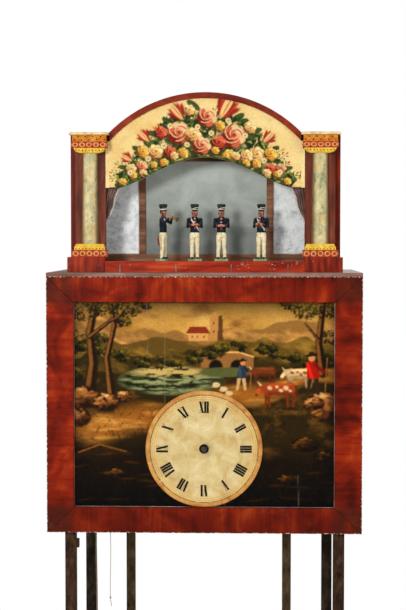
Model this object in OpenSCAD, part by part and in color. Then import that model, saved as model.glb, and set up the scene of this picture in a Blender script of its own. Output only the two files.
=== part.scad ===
// Organ clock: a mahogany case on an iron stand, with a small theatre of
// four turning bandsmen on top, a time movement behind the dial and a
// pinned-barrel flute organ behind that. Millimetres, +Z up, front at -Y.
// The origin is on the floor, under the middle of the whole clock.

/* [Stand] */
// Height from the floor to the underside of the case
stand_h = 750; // [650:10:850]
// Width of the four outer legs
outer_leg_w = 21; // [18:1:24]
// Width of the two inner legs at the back
inner_leg_w = 18; // [14:1:22]
// Front-to-back thickness of every leg
leg_t = 14; // [12:1:16]
// Distance between the centres of the front legs
front_leg_span = 507; // [495:1:512]
// Distance between the centres of the rear outer legs
rear_leg_span = 490; // [480:1:500]
// Distance between the centres of the rear inner legs
inner_leg_span = 324; // [300:1:350]
// Height of the rails of the stand
stand_rail_h = 22; // [16:1:26]
// Thickness of the rails of the stand
stand_rail_t = 10; // [8:1:12]
// Height of the lower rails above the floor
stretcher_z = 120; // [80:5:200]
// Side of the square foot plates
foot_w = 56; // [50:1:60]
// Thickness of the foot plates
foot_t = 6; // [4:1:10]
// Distance between the screw holes of a foot plate
foot_hole_gap = 40; // [38:1:42]
// Diameter of the screw holes of a foot plate
foot_hole_d = 7; // [5:0.5:8]

/* [Case] */
// Width of the front frame
case_w = 590; // [580:1:610]
// Height of the front frame
case_h = 481; // [470:1:520]
// Depth of the whole case
case_d = 320; // [316:1:340]
// Width of the upright members of the front frame
stile_w = 51; // [44:1:56]
// Width of the level members of the front frame
rail_w = 48; // [42:1:54]
// Thickness of the front layer of the frame
face_t = 10; // [9:0.5:12]
// Thickness of the layer behind it
backing_t = 12; // [10:0.5:14]
// Width of the step that holds the painted panel
rebate = 9; // [6:0.5:12]
// Thickness of the painted panel
panel_t = 4; // [3:0.5:5]
// Width of the box behind the front frame
box_w = 560; // [556:1:566]
// Thickness of the side boards and doors
side_t = 12; // [10:0.5:13]
// Thickness of the bottom board
floor_t = 12; // [9:0.5:13]
// Thickness of the top board
top_t = 7; // [5:0.5:10]
// Thickness of the back rails
back_rail_t = 8; // [6:0.5:8.5]
// Height of the back rails
back_rail_h = 30; // [24:1:34]
// Width of the front edge of each side board
side_stile_w = 26; // [20:1:30]
// Width of the rear edge of each side board
side_post_w = 20; // [16:1:24]
// Height of the side board above and below each door
side_rail_h = 30; // [24:1:36]
// Gap round each door
door_gap = 1; // [0.6:0.1:1.6]

/* [Dial] */
// Diameter of the dial
dial_d = 219; // [200:1:225]
// Gap between the dial and the lower member of the frame
dial_gap = 0.5; // [0.3:0.1:3]
// Thickness of the dial
dial_t = 6; // [4:0.5:7]
// Width of the raised rim of the dial
dial_rim = 8; // [5:0.5:10]
// Diameter of the hole in the middle of the dial
dial_hole_d = 18.6; // [14:0.2:22]

/* [Stage] */
// Distance from the front of the case to the front of the plinths
stage_setback = 40; // [34:1:50]
// Distance from the front of the plinths to the back of the theatre
stage_d = 108; // [104:1:120]
// Distance from the middle of the stage to the middle of each column
column_x = 218; // [214:1:222]
// Half width of the opening between the pilasters
opening_half = 189; // [186:0.5:190]
// Width of each pilaster
pilaster_w = 58; // [50:1:60]
// Thickness of each pilaster and of the painted arch board
pilaster_t = 12; // [8:0.5:14]
// Height of the plain part of the plinths
plinth_h = 28.6; // [24:0.2:32]
// Depth of the plinths in front of the pilasters
plinth_d = 24; // [22:0.5:26]
// Width of each plinth
plinth_w = 71; // [66:1:74]
// Height of the ringed band under each column
base_ring_h = 13.4; // [10:0.2:15]
// Height of the yellow band under each column
base_block_h = 11.4; // [8:0.2:13]
// Height of each column
column_h = 171.6; // [160:0.2:176]
// Radius of each column at its foot
column_r_low = 16.7; // [14:0.1:18]
// Radius of each column at its top
column_r_high = 14.3; // [12:0.1:16]
// Height of the whole capital above the column
capital_h = 39; // [35:1:42]
// Width of the slab on top of each capital
abacus_w = 74; // [70:1:76]
// Thickness of that slab and of the flat roofs behind it
abacus_t = 5; // [4:0.5:7]
// Outer radius of the curved roof
roof_r = 256; // [252:1:262]
// Thickness of the curved roof
roof_t = 11; // [8:0.5:12]
// Thickness of the painted arch board
arch_t = 8; // [6:0.5:10]
// Height of the ends of the arch board's lower edge
arch_low_h = 160; // [150:1:170]
// Rise of that lower edge in the middle
arch_rise = 57.5; // [45:0.5:62]
// Height of the rail in front of the figures
front_rail_h = 21; // [20.5:0.5:25]
// Thickness of that rail
front_rail_t = 12; // [8:0.5:13]
// Height of the stage floor above the top board
stage_floor_h = 20; // [19:0.5:20.4]
// Thickness of the stage floor
stage_floor_t = 8; // [5:0.5:9]
// Thickness of the side walls and of the back wall of the theatre
stage_wall_t = 8; // [6:0.5:10]
// Distance from the middle of the backdrop to each post
post_x = 124; // [120:1:128]
// Width of each post of the backdrop
post_w = 12; // [10:0.5:14]
// Height of the sill of the backdrop
sill_h = 13; // [10:0.5:15]

/* [Figures] */
// Height of a bandsman with his base plate
figure_h = 109; // [105:1:112]
// Width of a base plate
figure_base_w = 26; // [22:1:27]
// Depth of a base plate
figure_base_d = 20; // [18:1:21]
// Thickness of a base plate
figure_base_t = 5; // [4:0.5:6]
// Radius of the spindle that a figure turns on
spindle_r = 2; // [1.6:0.1:2.6]

/* [Time movement] */
// Height of each movement plate
plate_h = 225; // [222:1:240]
// Width of each movement plate
plate_w = 110; // [108:1:124]
// Thickness of each movement plate
plate_t = 4; // [3:0.5:4.5]
// Clear distance between the plates
plate_gap = 48; // [46:0.5:50]
// Radius of the end pivots of the arbors
pivot_r = 1.5; // [1.2:0.1:1.8]
// Length of the pendulum from its pivot to the middle of its bob
pendulum_l = 172; // [165:1:176]
// Diameter of the pendulum bob
bob_d = 50; // [40:1:52]

/* [Organ] */
// Radius of the pinned barrel
barrel_r = 38; // [34:1:39]
// Length of the pinned barrel
barrel_l = 350; // [330:1:356]
// Number of keys, wires and pipes
pipe_count = 22; // [18:1:22]
// Distance between neighbouring pipes
pipe_pitch = 18; // [17:0.25:18]
// Width of a pipe
pipe_w = 15; // [12:0.5:16]
// Height of the longest pipe
pipe_long = 320; // [280:5:330]
// Height of the shortest pipe
pipe_short = 130; // [100:5:180]
// Height of the closed bellows between its boards
bellows_h = 20; // [16:1:24]
// Radius of the crank that works the bellows
crank_r = 10; // [8:0.5:11]

/* [Hidden] */
$fn = 48;
eps = 0.01;

// Clearances: a turning fit, a seat and the hair line of a glued joint
run = 0.05;
seat = 0.3;
joint = 0.05;

// Levels and planes of the case
front_y = -case_d / 2;
rear_y = case_d / 2;
panel_y = front_y + face_t;
frame_back_y = panel_y + backing_t;
backing_side = stile_w - rebate;
backing_rail = rail_w * backing_side / stile_w;
case_z = stand_h;
case_top = case_z + case_h;
stage_z = case_top + top_t;
side_x = box_w / 2;
floor_z = case_z + stand_rail_h;
inside_z = floor_z + floor_t;
back_rail_y = rear_y - back_rail_t;
dial_z = case_z + rail_w + dial_gap + dial_d / 2;

// Places of the legs, from the middle of the clock
front_leg_y = frame_back_y + 2 + leg_t / 2;
rear_leg_y = back_rail_y - 2 - leg_t / 2;
leg_top = case_z + stand_rail_h;
front_leg_x = front_leg_span / 2;
rear_leg_x = rear_leg_span / 2;
inner_leg_x = inner_leg_span / 2;
front_foot_y = front_leg_y + 2;
rear_foot_y = rear_y - foot_w / 2 - 1;

// Planes of the theatre
plinth_y = front_y + stage_setback;
pilaster_y = plinth_y + plinth_d;
pilaster_back_y = pilaster_y + pilaster_t;
stage_back_y = plinth_y + stage_d;
backdrop_y = stage_back_y - stage_wall_t;
base_top = plinth_h + base_ring_h + base_block_h;
column_top = base_top + column_h;
abacus_top = column_top + capital_h;
abacus_low = abacus_top - abacus_t;
abacus_in = column_x + 1 - abacus_w / 2;
abacus_out = abacus_in + abacus_w;
wall_out = abacus_out + 1;
wall_in = wall_out - stage_wall_t;
plinth_in = opening_half;
plinth_out = plinth_in + plinth_w;
pilaster_out = opening_half + pilaster_w;
// The roof's outer face meets the slab's top at its inner edge
roof_z = abacus_top - sqrt(roof_r * roof_r - abacus_in * abacus_in);
roof_in_r = roof_r - roof_t;
rail_back_y = plinth_y + 2 + front_rail_t;
arch_back_y = pilaster_y + arch_t;

// Places of the figures on the stage floor
figure_x = [-80, -20, 31, 107];
figure_turn = [68, 4, 0, -14];
figure_y = rail_back_y + 3 + norm([figure_base_w, figure_base_d]) / 2;
spindle_low = 4;
shoulder_h = 80;
shoulder_x = 13.9;
shoulder_pin_r = 1.2;

// The time train: teeth, modules and the heights of the arbors
great_teeth = 96;
centre_pinion_teeth = 8;
great_m = 1;
centre_teeth = 80;
centre_m = 0.85;
third_teeth = 72;
third_m = 0.8;
pinion_teeth = 8;
escape_teeth = 48;
escape_r = 22;
anchor_rise = 30;
plate_front_y = panel_y + panel_t + 18;
plate_in_front = plate_front_y + plate_t;
plate_in_back = plate_in_front + plate_gap;
plate_back_y = plate_in_back + plate_t;
seat_z = inside_z + 16;
plate_top = seat_z + plate_h;
great_z = dial_z - (great_teeth + centre_pinion_teeth) * great_m / 2;
third_z = dial_z + (centre_teeth + pinion_teeth) * centre_m / 2;
escape_z = third_z + (third_teeth + pinion_teeth) * third_m / 2;
anchor_z = escape_z + anchor_rise;
great_y = plate_in_back - 16;
centre_y = plate_in_front + 4;
third_y = plate_in_front + 12;
escape_y = plate_in_front + 21;
wheel_t = 3;

// Motion work behind the dial: 12 to 36 and 10 to 40 teeth give one in twelve
cannon_teeth = 12;
minute_teeth = 36;
minute_pinion_teeth = 10;
hour_teeth = 40;
cannon_m = 1;
motion_gap = (cannon_teeth + minute_teeth) * cannon_m / 2;
hour_m = 2 * motion_gap / (minute_pinion_teeth + hour_teeth);
cannon_y = plate_front_y - 5;
hour_y = plate_front_y - 12.5;
centre_arbor_r = 2.4;
cannon_pipe_r = 2.9;
hour_pipe_r = 4.75;
stud_r = 2.2;

// The organ: heights of the arbors above the floor board, and its planes
organ_y = plate_back_y + 82;
cheek_t = 6;
cheek_low_y = organ_y - 55;
cheek_high_y = organ_y + 70;
cheek_h = 396;
left_cheek_x = -256;
mid_cheek_x = -200;
right_cheek_x = 216;
barrel_wheel_teeth = 100;
barrel_pinion_teeth = 10;
organ_m = 1;
great_organ_teeth = 90;
great_organ_m = 1.2;
fly_wheel_teeth = 80;
fly_pinion_teeth = 8;
crank_h = 330;
crank_z = case_z + crank_h;
barrel_z = crank_z + (barrel_wheel_teeth + barrel_pinion_teeth) * organ_m / 2;
organ_great_z = crank_z - (great_organ_teeth + barrel_pinion_teeth) * great_organ_m / 2;
fly_y = organ_y + (fly_wheel_teeth + fly_pinion_teeth) * organ_m / 2;
vane_l = 52;
vane_t = 1.2;
vane_tip = 5;
barrel_wheel_x = mid_cheek_x + cheek_t + 8;
barrel_x = right_cheek_x - 11 - barrel_l;
great_organ_x = left_cheek_x + 16;
fly_wheel_gap = 41;
fly_wheel_x = left_cheek_x + fly_wheel_gap;
axle_r = 4;
drum_r = 20;
drum_flange_r = 26;
drum_x = great_organ_x + 8;
drum_l = 14;
key_y = organ_y + 62;
key_tail = 21;
key_pin_r = 3;
key_w = 6;
key_pitch = 15.5;
sticker_y = organ_y + 80;
sticker_r = 1.2;
chest_y = organ_y + 76;
chest_d = 62;
chest_low = inside_z + 26;
chest_top = chest_low + 35;
pipe_y = organ_y + 98;
pipe_d = 22;
pipe_foot_h = 10;

// The bellows lies on the floor board, hinged at its rear edge
bellows_x = -185;
bellows_w = 290;
bellows_y = organ_y - 66;
bellows_d = 136;
bellows_board_t = 10;
bellows_base_top = inside_z + bellows_board_t;
bellows_low = bellows_base_top + bellows_h;
bellows_top_z = bellows_low + bellows_board_t;
bellows_axis_y = bellows_y + bellows_d - 6;
bellows_axis_z = bellows_low + bellows_board_t / 2;
bellows_pin_r = 2.5;
rod_x = barrel_wheel_x + 17.5;
rod_t = 4;
rod_foot_z = bellows_top_z + 10;
rod_pin_r = 2;

// The string that starts the tune, and the line of the organ's weight
string_x = -182;
string_y = plate_in_front + 24;
trip_r = 2.5;
trip_low = case_z + 40;
string_d = 1.2;
string_hole_r = 5;
line_d = 3;
line_x = drum_x + drum_l / 2;
line_y = organ_y + drum_r + line_d / 2 + seat;
line_slot = 22;
// Sideways drift of the cords on their way down, level by level below the case
string_route = [
    [0, 0, 40], [0, 0, 30], [0, 0, 20], [0.1, 0, 10], [0.3, 0, 0],
    [0.6, 0.1, -12], [0.9, 0.2, -24], [1.1, 0.3, -36], [1.2, 0.3, -48],
    [1.1, 0.2, -60], [0.9, 0.1, -72], [0.6, 0, -84], [0.3, 0, -96],
    [0.1, 0.1, -108], [0, 0.2, -118], [0, 0.3, -128], [0.1, 0.3, -136],
    [0.6, 0.2, -142], [1.4, 0, -147], [2.0, -0.2, -151], [2.3, -0.3, -154]
];
line_route = [
    [0, 0, 268], [0, 0, 256], [0, 0, 244], [0, 0, 232], [0, 0, 220],
    [0, 0, 208], [0, 0, 196], [0, 0, 184], [0, 0, 172], [0, 0, 160],
    [0, 0, 148], [0, 0, 136], [0, 0, 124], [0, 0, 112], [0, 0, 100],
    [0, 0, 88], [0, 0, 76], [0, 0, 64], [0.1, 0, 52], [0.2, 0, 40],
    [0.3, 0, 28], [0.4, 0, 16], [0.6, 0, 4], [0.8, 0, -8], [1.0, 0, -20],
    [1.2, 0, -32], [1.4, 0, -44], [1.6, 0, -56], [1.8, 0, -68],
    [2.0, 0, -80], [2.2, 0, -92], [2.4, 0, -104], [2.6, 0, -116],
    [2.8, 0, -128], [3.0, 0, -140], [3.1, 0, -152], [3.2, 0, -164],
    [3.3, 0, -176], [3.3, 0, -188], [3.4, 0, -200], [3.4, 0, -212]
];

// Colours of the materials
mahogany = [0.62, 0.2, 0.09];
dark_wood = [0.3, 0.15, 0.08];
pine = [0.72, 0.56, 0.36];
brass = [0.78, 0.62, 0.28];
steel = [0.5, 0.5, 0.5];
cream = [0.91, 0.84, 0.58];

// Box from one corner to the opposite one
module block(low, high) {
    translate(low)
        cube(high - low);
}

// The same solid on both sides of the middle
module both_sides() {
    children();
    mirror([1, 0, 0])
        children();
}

// Round bar along Y, from y0 to y1
module rod_y(r, x, z, y0, y1) {
    translate([x, y0, z])
        rotate([-90, 0, 0])
            cylinder(r = r, h = y1 - y0);
}

// Round bar along X, from x0 to x1
module rod_x(r, y, z, x0, x1) {
    translate([x0, y, z])
        rotate([0, 90, 0])
            cylinder(r = r, h = x1 - x0);
}

// Round bar between two points
module limb(p, q, r) {
    d = q - p;
    translate(p)
        rotate([0, acos(d[2] / norm(d)), atan2(d[1], d[0])])
            cylinder(r = r, h = norm(d), $fn = 24);
}

// Front view outline in X and Z, made into a board from y0 to y1
module board_y(points, y0, y1) {
    translate([0, y1, 0])
        rotate([90, 0, 0])
            linear_extrude(y1 - y0)
                polygon(points);
}

// Outline of a toothed wheel with one tooth centred on the first axis,
// or with a gap there where shift is 0.5
function gear_points(teeth, m, shift) = [
    for (i = [0 : teeth - 1], k = [0 : 3])
        let (
            r = teeth * m / 2 + (k == 0 || k == 3 ? -1.05 : 0.7) * m,
            a = 360 / teeth * (i + shift + [-0.3, -0.12, 0.12, 0.3][k])
        )
        [r * cos(a), r * sin(a)]
];

// Toothed wheel along Y from y0 to y1; its first tooth points along turn,
// where 90 is straight up
module gear_y(teeth, m, x, z, y0, y1, turn, shift = 0) {
    translate([x, y0, z])
        rotate([-90, 0, 0])
            rotate([0, 0, -turn])
                linear_extrude(y1 - y0)
                    polygon(gear_points(teeth, m, shift));
}

// Toothed wheel along X from x0 to x1; turn 0 points down, 90 to the back
module gear_x(teeth, m, y, z, x0, x1, turn, shift = 0) {
    translate([x0, y, z])
        rotate([0, 90, 0])
            rotate([0, 0, turn])
                linear_extrude(x1 - x0)
                    polygon(gear_points(teeth, m, shift));
}

// Holes between the spokes of a wheel along Y
module spoke_holes_y(x, z, y0, y1, rim_r, hub_r, hole_r, count) {
    for (i = [0 : count - 1])
        rotate_about_y(x, z, 360 / count * i + 45)
            rod_y(hole_r, x + (rim_r + hub_r) / 2, z, y0, y1);
}

// Turn about an axis along Y through x and z
module rotate_about_y(x, z, angle) {
    translate([x, 0, z])
        rotate([0, angle, 0])
            translate([-x, 0, -z])
                children();
}

// Legs with their foot plates, all at one distance from the middle
module leg_pair(x, y, w, foot_y) {
    both_sides()
        difference() {
            union() {
                block([x - w / 2, y - leg_t / 2, foot_t], [x + w / 2, y + leg_t / 2, leg_top]);
                block([x - foot_w / 2, foot_y - foot_w / 2, 0],
                      [x + foot_w / 2, foot_y + foot_w / 2, foot_t]);
            }
            for (dx = [-0.5, 0.5], dy = [-0.5, 0.5])
                translate([x + dx * foot_hole_gap, foot_y + dy * foot_hole_gap, -1])
                    cylinder(d = foot_hole_d, h = foot_t + 2);
        }
}

module front_legs() {
    color([0.3, 0.2, 0.15])
        leg_pair(front_leg_x, front_leg_y, outer_leg_w, front_foot_y);
    // Clamp block on the inner side of the left leg
    color([0.1, 0.08, 0.07])
        block([-front_leg_x + outer_leg_w / 2, front_leg_y - 6, case_z - 34],
              [-front_leg_x + outer_leg_w / 2 + 5, front_leg_y + 6, case_z - 18]);
}

module rear_legs() {
    color([0.1, 0.09, 0.08])
        leg_pair(rear_leg_x, rear_leg_y, outer_leg_w, rear_foot_y);
}

module inner_legs() {
    color([0.31, 0.26, 0.18])
        leg_pair(inner_leg_x, rear_leg_y, inner_leg_w, rear_foot_y);
}

// Rails between the legs at one level
module leg_ring(z) {
    front_in = front_leg_x - outer_leg_w / 2;
    rear_in = rear_leg_x - outer_leg_w / 2;
    inner_out = inner_leg_x + inner_leg_w / 2;
    inner_in = inner_leg_x - inner_leg_w / 2;
    side_mid = (front_leg_x + rear_leg_x) / 2;
    half = stand_rail_t / 2;
    top = z + stand_rail_h;
    block([-front_in, front_leg_y - half, z], [front_in, front_leg_y + half, top]);
    block([-inner_in, rear_leg_y - half, z], [inner_in, rear_leg_y + half, top]);
    both_sides() {
        block([inner_out, rear_leg_y - half, z], [rear_in, rear_leg_y + half, top]);
        block([side_mid - half, front_leg_y + leg_t / 2, z],
              [side_mid + half, rear_leg_y - leg_t / 2, top]);
    }
}

module stand_frame() {
    color([0.22, 0.16, 0.12]) {
        leg_ring(leg_top - stand_rail_h);
        leg_ring(stretcher_z);
    }
}

// Level member of the front frame, narrowing to its inner edge
module frame_level(side_in, y0, y1, z_out, z_in) {
    outer = case_w / 2 - joint;
    inner = case_w / 2 - side_in - joint;
    board_y([[-outer, z_out], [outer, z_out], [inner, z_in], [-inner, z_in]], y0, y1);
}

// Upright member of the front frame, on the right
module frame_upright(side_in, low_in, y0, y1) {
    board_y([[case_w / 2, case_z + joint], [case_w / 2, case_top - joint],
             [case_w / 2 - side_in, case_top - low_in - joint],
             [case_w / 2 - side_in, case_z + low_in + joint]], y0, y1);
}

module front_frame() {
    color(mahogany) {
        for (level = [[case_z, 1], [case_top, -1]])
            union() {
                frame_level(stile_w, front_y, panel_y,
                            level[0], level[0] + level[1] * rail_w);
                frame_level(backing_side, panel_y, frame_back_y,
                            level[0], level[0] + level[1] * backing_rail);
            }
        both_sides()
            union() {
                frame_upright(stile_w, rail_w, front_y, panel_y);
                frame_upright(backing_side, backing_rail, panel_y, frame_back_y);
            }
    }
}

module painted_panel() {
    half = case_w / 2 - backing_side - seat;
    color([0.35, 0.3, 0.15])
        difference() {
            block([-half, panel_y, case_z + backing_rail + seat],
                  [half, panel_y + panel_t, case_top - backing_rail - seat]);
            rod_y(dial_hole_d / 2, 0, dial_z, panel_y - 1, panel_y + panel_t + 1);
        }
}

module dial() {
    color(cream)
        translate([0, panel_y, dial_z])
            rotate([90, 0, 0])
                rotate_extrude($fn = 96)
                    polygon([
                        [dial_hole_d / 2, 0], [dial_d / 2, 0], [dial_d / 2, dial_t - 1.5],
                        [dial_d / 2 - 1.5, dial_t], [dial_d / 2 - dial_rim + 1, dial_t],
                        [dial_d / 2 - dial_rim, dial_t - 1.5], [dial_hole_d / 2, dial_t - 1]
                    ]);
}

// The opening that a door fills, on the right
door_y0 = frame_back_y + side_stile_w;
door_y1 = rear_y - side_post_w;
door_z0 = case_z + side_rail_h;
door_z1 = case_top - side_rail_h;
hinge_r = 3.2;
hinge_pin_r = 1.5;
hinge_x = side_x + hinge_r + 0.3;
hinge_leaf_t = 1.5;
hinge_z = [door_z0 + 60, door_z1 - 60];
knuckle = 18;

module carcass() {
    color(mahogany) {
        both_sides()
            difference() {
                block([side_x - side_t, frame_back_y, case_z], [side_x, rear_y, case_top]);
                block([side_x - side_t - 1, door_y0 - door_gap, door_z0 - door_gap],
                      [side_x + 1, door_y1 + door_gap, door_z1 + door_gap]);
            }
        for (z = [case_z, case_top - back_rail_h])
            block([-side_x + side_t + joint, back_rail_y, z],
                  [side_x - side_t - joint, rear_y, z + back_rail_h]);
    }
}

module bottom_board() {
    half = side_x - side_t;
    color(pine)
        difference() {
            union() {
                block([-half, frame_back_y, floor_z], [half, back_rail_y, inside_z]);
                // Guide block of the trip rod
                block([string_x - 10, string_y - 10, inside_z],
                      [string_x + 10, string_y + 10, inside_z + 30]);
            }
            // Ways out for the string, the organ's line and the time line
            translate([string_x, string_y, floor_z - 1])
                cylinder(r = string_hole_r, h = floor_t + 11);
            translate([string_x, string_y, inside_z])
                cylinder(r = trip_r + run, h = 31);
            block([line_x - line_slot / 2, line_y - line_slot / 2, floor_z - 1],
                  [line_x + line_slot / 2, line_y + line_slot / 2, inside_z + 1]);
            block([-20, plate_in_front + 8, floor_z - 1],
                  [20, plate_in_front + 30, inside_z + 1]);
        }
}

module top_board() {
    color(mahogany)
        block([-case_w / 2, front_y, case_top], [case_w / 2, rear_y, stage_z]);
}

// Door with its two hinge leaves and its knob, on the right
module side_door() {
    difference() {
        union() {
            block([side_x - side_t, door_y0, door_z0], [side_x, door_y1, door_z1]);
            for (z = hinge_z) {
                block([side_x, door_y1 - 24, z - knuckle], [side_x + hinge_leaf_t, door_y1, z]);
                block([side_x, door_y1 - 1, z - knuckle], [hinge_x, door_y1 + 1, z]);
                translate([hinge_x, door_y1, z - knuckle])
                    cylinder(r = hinge_r, h = knuckle);
            }
            rod_x(4, door_y0 + 14, (door_z0 + door_z1) / 2, side_x, side_x + 8);
            rod_x(6.5, door_y0 + 14, (door_z0 + door_z1) / 2, side_x + 7, side_x + 13);
        }
        for (z = hinge_z)
            translate([hinge_x, door_y1, z - knuckle - 1])
                cylinder(r = hinge_pin_r + run, h = knuckle + 2);
    }
}

module left_door() {
    color(mahogany)
        mirror([1, 0, 0])
            side_door();
}

module right_door() {
    color(mahogany)
        side_door();
}

// Fixed half of the hinges: a leaf on the rear post, a knuckle and the pin
module door_hinges() {
    color(brass)
        both_sides()
            for (z = hinge_z)
                union() {
                    block([side_x, door_y1 + door_gap, z + 0.5],
                          [side_x + hinge_leaf_t, rear_y - 3, z + knuckle]);
                    block([side_x, door_y1 - 0.5, z + 0.5], [hinge_x, door_y1 + 2, z + knuckle]);
                    translate([hinge_x, door_y1, z + 0.5])
                        cylinder(r = hinge_r, h = knuckle - 0.5);
                    translate([hinge_x, door_y1, z - knuckle - 1])
                        cylinder(r = hinge_pin_r, h = 2 * knuckle);
                }
}

module stage_floor() {
    inner = opening_half;
    color(dark_wood)
        difference() {
            union() {
                block([-inner, rail_back_y, stage_z + stage_floor_h - stage_floor_t],
                      [inner, backdrop_y, stage_z + stage_floor_h]);
                both_sides() {
                    block([inner, pilaster_back_y, stage_z + stage_floor_h - stage_floor_t],
                          [wall_in, backdrop_y, stage_z + stage_floor_h]);
                    block([inner - 20, pilaster_back_y, stage_z],
                          [inner, backdrop_y, stage_z + stage_floor_h]);
                }
            }
            for (x = figure_x)
                translate([x, figure_y, stage_z])
                    cylinder(r = spindle_r + run, h = stage_floor_h + 1);
        }
}

module front_rail() {
    color([0.72, 0.22, 0.1])
        block([-opening_half, plinth_y + 2, stage_z],
              [opening_half, rail_back_y, stage_z + front_rail_h]);
}

// Block centred on a column in front of the pilasters, between two levels
module column_block(width, depth, z0, z1) {
    block([column_x - width / 2, pilaster_y - depth, stage_z + z0],
          [column_x + width / 2, pilaster_y, stage_z + z1]);
}

module plinths() {
    ring_top = plinth_h + base_ring_h;
    both_sides()
        union() {
            color(mahogany)
                block([plinth_in, plinth_y, stage_z],
                      [plinth_out, pilaster_back_y, stage_z + plinth_h]);
            color([0.78, 0.3, 0.16])
                column_block(pilaster_w + 8, plinth_d - 1.5, plinth_h, ring_top);
            color([0.9, 0.74, 0.24])
                column_block(pilaster_w, plinth_d - 4, ring_top, base_top);
        }
}

module pilasters() {
    color(mahogany)
        both_sides()
            block([opening_half, pilaster_y, stage_z + plinth_h],
                  [pilaster_out, pilaster_back_y, stage_z + abacus_low]);
}

module columns() {
    color([0.78, 0.76, 0.56])
        both_sides()
            difference() {
                translate([column_x, pilaster_y, stage_z + base_top])
                    cylinder(r1 = column_r_low, r2 = column_r_high, h = column_h);
                block([column_x - 30, pilaster_y, stage_z + base_top - 1],
                      [column_x + 30, pilaster_y + 30, stage_z + column_top + 1]);
            }
}

module capitals() {
    flare_top = column_top + 9.5;
    ring_top = flare_top + 11.5;
    both_sides() {
        color([0.9, 0.74, 0.24])
            board_y([
                [column_x - column_r_high - 3, stage_z + column_top],
                [column_x + column_r_high + 3, stage_z + column_top],
                [column_x + pilaster_w / 2 + 2, stage_z + flare_top],
                [column_x - pilaster_w / 2 - 2, stage_z + flare_top]
            ], pilaster_y - plinth_d + 6, pilaster_y);
        color([0.78, 0.3, 0.16])
            column_block(pilaster_w + 9, plinth_d - 1, flare_top, ring_top);
        color([0.86, 0.62, 0.22])
            column_block(pilaster_w + 6, plinth_d - 3, ring_top, abacus_low);
        color([0.75, 0.7, 0.55])
            block([abacus_in, plinth_y - 2, stage_z + abacus_low],
                  [abacus_out, pilaster_y, stage_z + abacus_top]);
    }
}

// Height of the inner face of the curved roof above the stage's foot
function vault(x) = roof_z + sqrt(roof_in_r * roof_in_r - x * x);
// Height of the arch board's scalloped lower edge
function drape(x) = arch_low_h
    + arch_rise * pow(0.5 + 0.5 * cos(180 * min(abs(x), 165) / 165), 0.7);

module arch_board() {
    steps = 24;
    inner = abacus_in;
    color(cream)
        board_y(concat(
            [for (i = [-steps : steps])
                let (x = opening_half * i / steps) [x, stage_z + drape(x)]],
            [[opening_half, stage_z + vault(inner)]],
            [for (i = [-steps : steps])
                let (x = -inner * i / steps) [x, stage_z + vault(x)]],
            [[-opening_half, stage_z + vault(inner)]]
        ), pilaster_y, arch_back_y);
}

module stage_roof() {
    color([0.5, 0.18, 0.1])
        intersection() {
            translate([0, stage_back_y, stage_z + roof_z])
                rotate([90, 0, 0])
                    difference() {
                        cylinder(r = roof_r, h = stage_d - plinth_d + 4, $fn = 128);
                        translate([0, 0, -1])
                            cylinder(r = roof_in_r, h = stage_d, $fn = 128);
                    }
            block([-abacus_in, plinth_y, stage_z + vault(abacus_in)],
                  [abacus_in, stage_back_y + 1, stage_z + roof_z + roof_r + 1]);
        }
    // Flat roofs over the two side bays
    color([0.5, 0.18, 0.1])
        both_sides()
            block([abacus_in, pilaster_y, stage_z + abacus_low],
                  [abacus_out, stage_back_y, stage_z + abacus_top]);
}

module stage_sides() {
    color(mahogany)
        both_sides()
            block([wall_in, pilaster_back_y, stage_z], [wall_out, backdrop_y, stage_z + abacus_low]);
}

module backboard() {
    steps = 24;
    inner = abacus_in;
    color(dark_wood) {
        board_y(concat(
            [[wall_out, stage_z], [wall_out, stage_z + abacus_low],
             [inner, stage_z + abacus_low], [inner, stage_z + vault(inner)]],
            [for (i = [-steps : steps])
                let (x = -inner * i / steps) [x, stage_z + vault(x)]],
            [[-inner, stage_z + abacus_low], [-wall_out, stage_z + abacus_low],
             [-wall_out, stage_z]]
        ), backdrop_y, stage_back_y);
        // Sill and posts of the backdrop
        block([-wall_in, backdrop_y - 8, stage_z + stage_floor_h],
              [wall_in, backdrop_y, stage_z + stage_floor_h + sill_h]);
        both_sides()
            block([post_x - post_w / 2, backdrop_y - 6, stage_z + stage_floor_h + sill_h],
                  [post_x + post_w / 2, backdrop_y, stage_z + backdrop_top]);
        block([-post_x + post_w / 2, backdrop_y - 6, stage_z + backdrop_top - 12],
              [post_x - post_w / 2, backdrop_y, stage_z + backdrop_top]);
    }
}
// Level of the top of the posts, and of the foot of the panes
backdrop_top = arch_low_h + arch_rise + 8;
pane_low = stage_floor_h + sill_h;

module backdrop_panel() {
    color([0.56, 0.62, 0.6])
        block([-post_x + post_w / 2 + seat, backdrop_y - 3, stage_z + pane_low],
              [post_x - post_w / 2 - seat, backdrop_y, stage_z + backdrop_top - 12 - seat]);
}

module mirrors() {
    color([0.8, 0.82, 0.83])
        both_sides()
            block([post_x + post_w / 2 + seat, backdrop_y - 3, stage_z + pane_low],
                  [opening_half + 10, backdrop_y, stage_z + backdrop_top - 20]);
}

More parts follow.
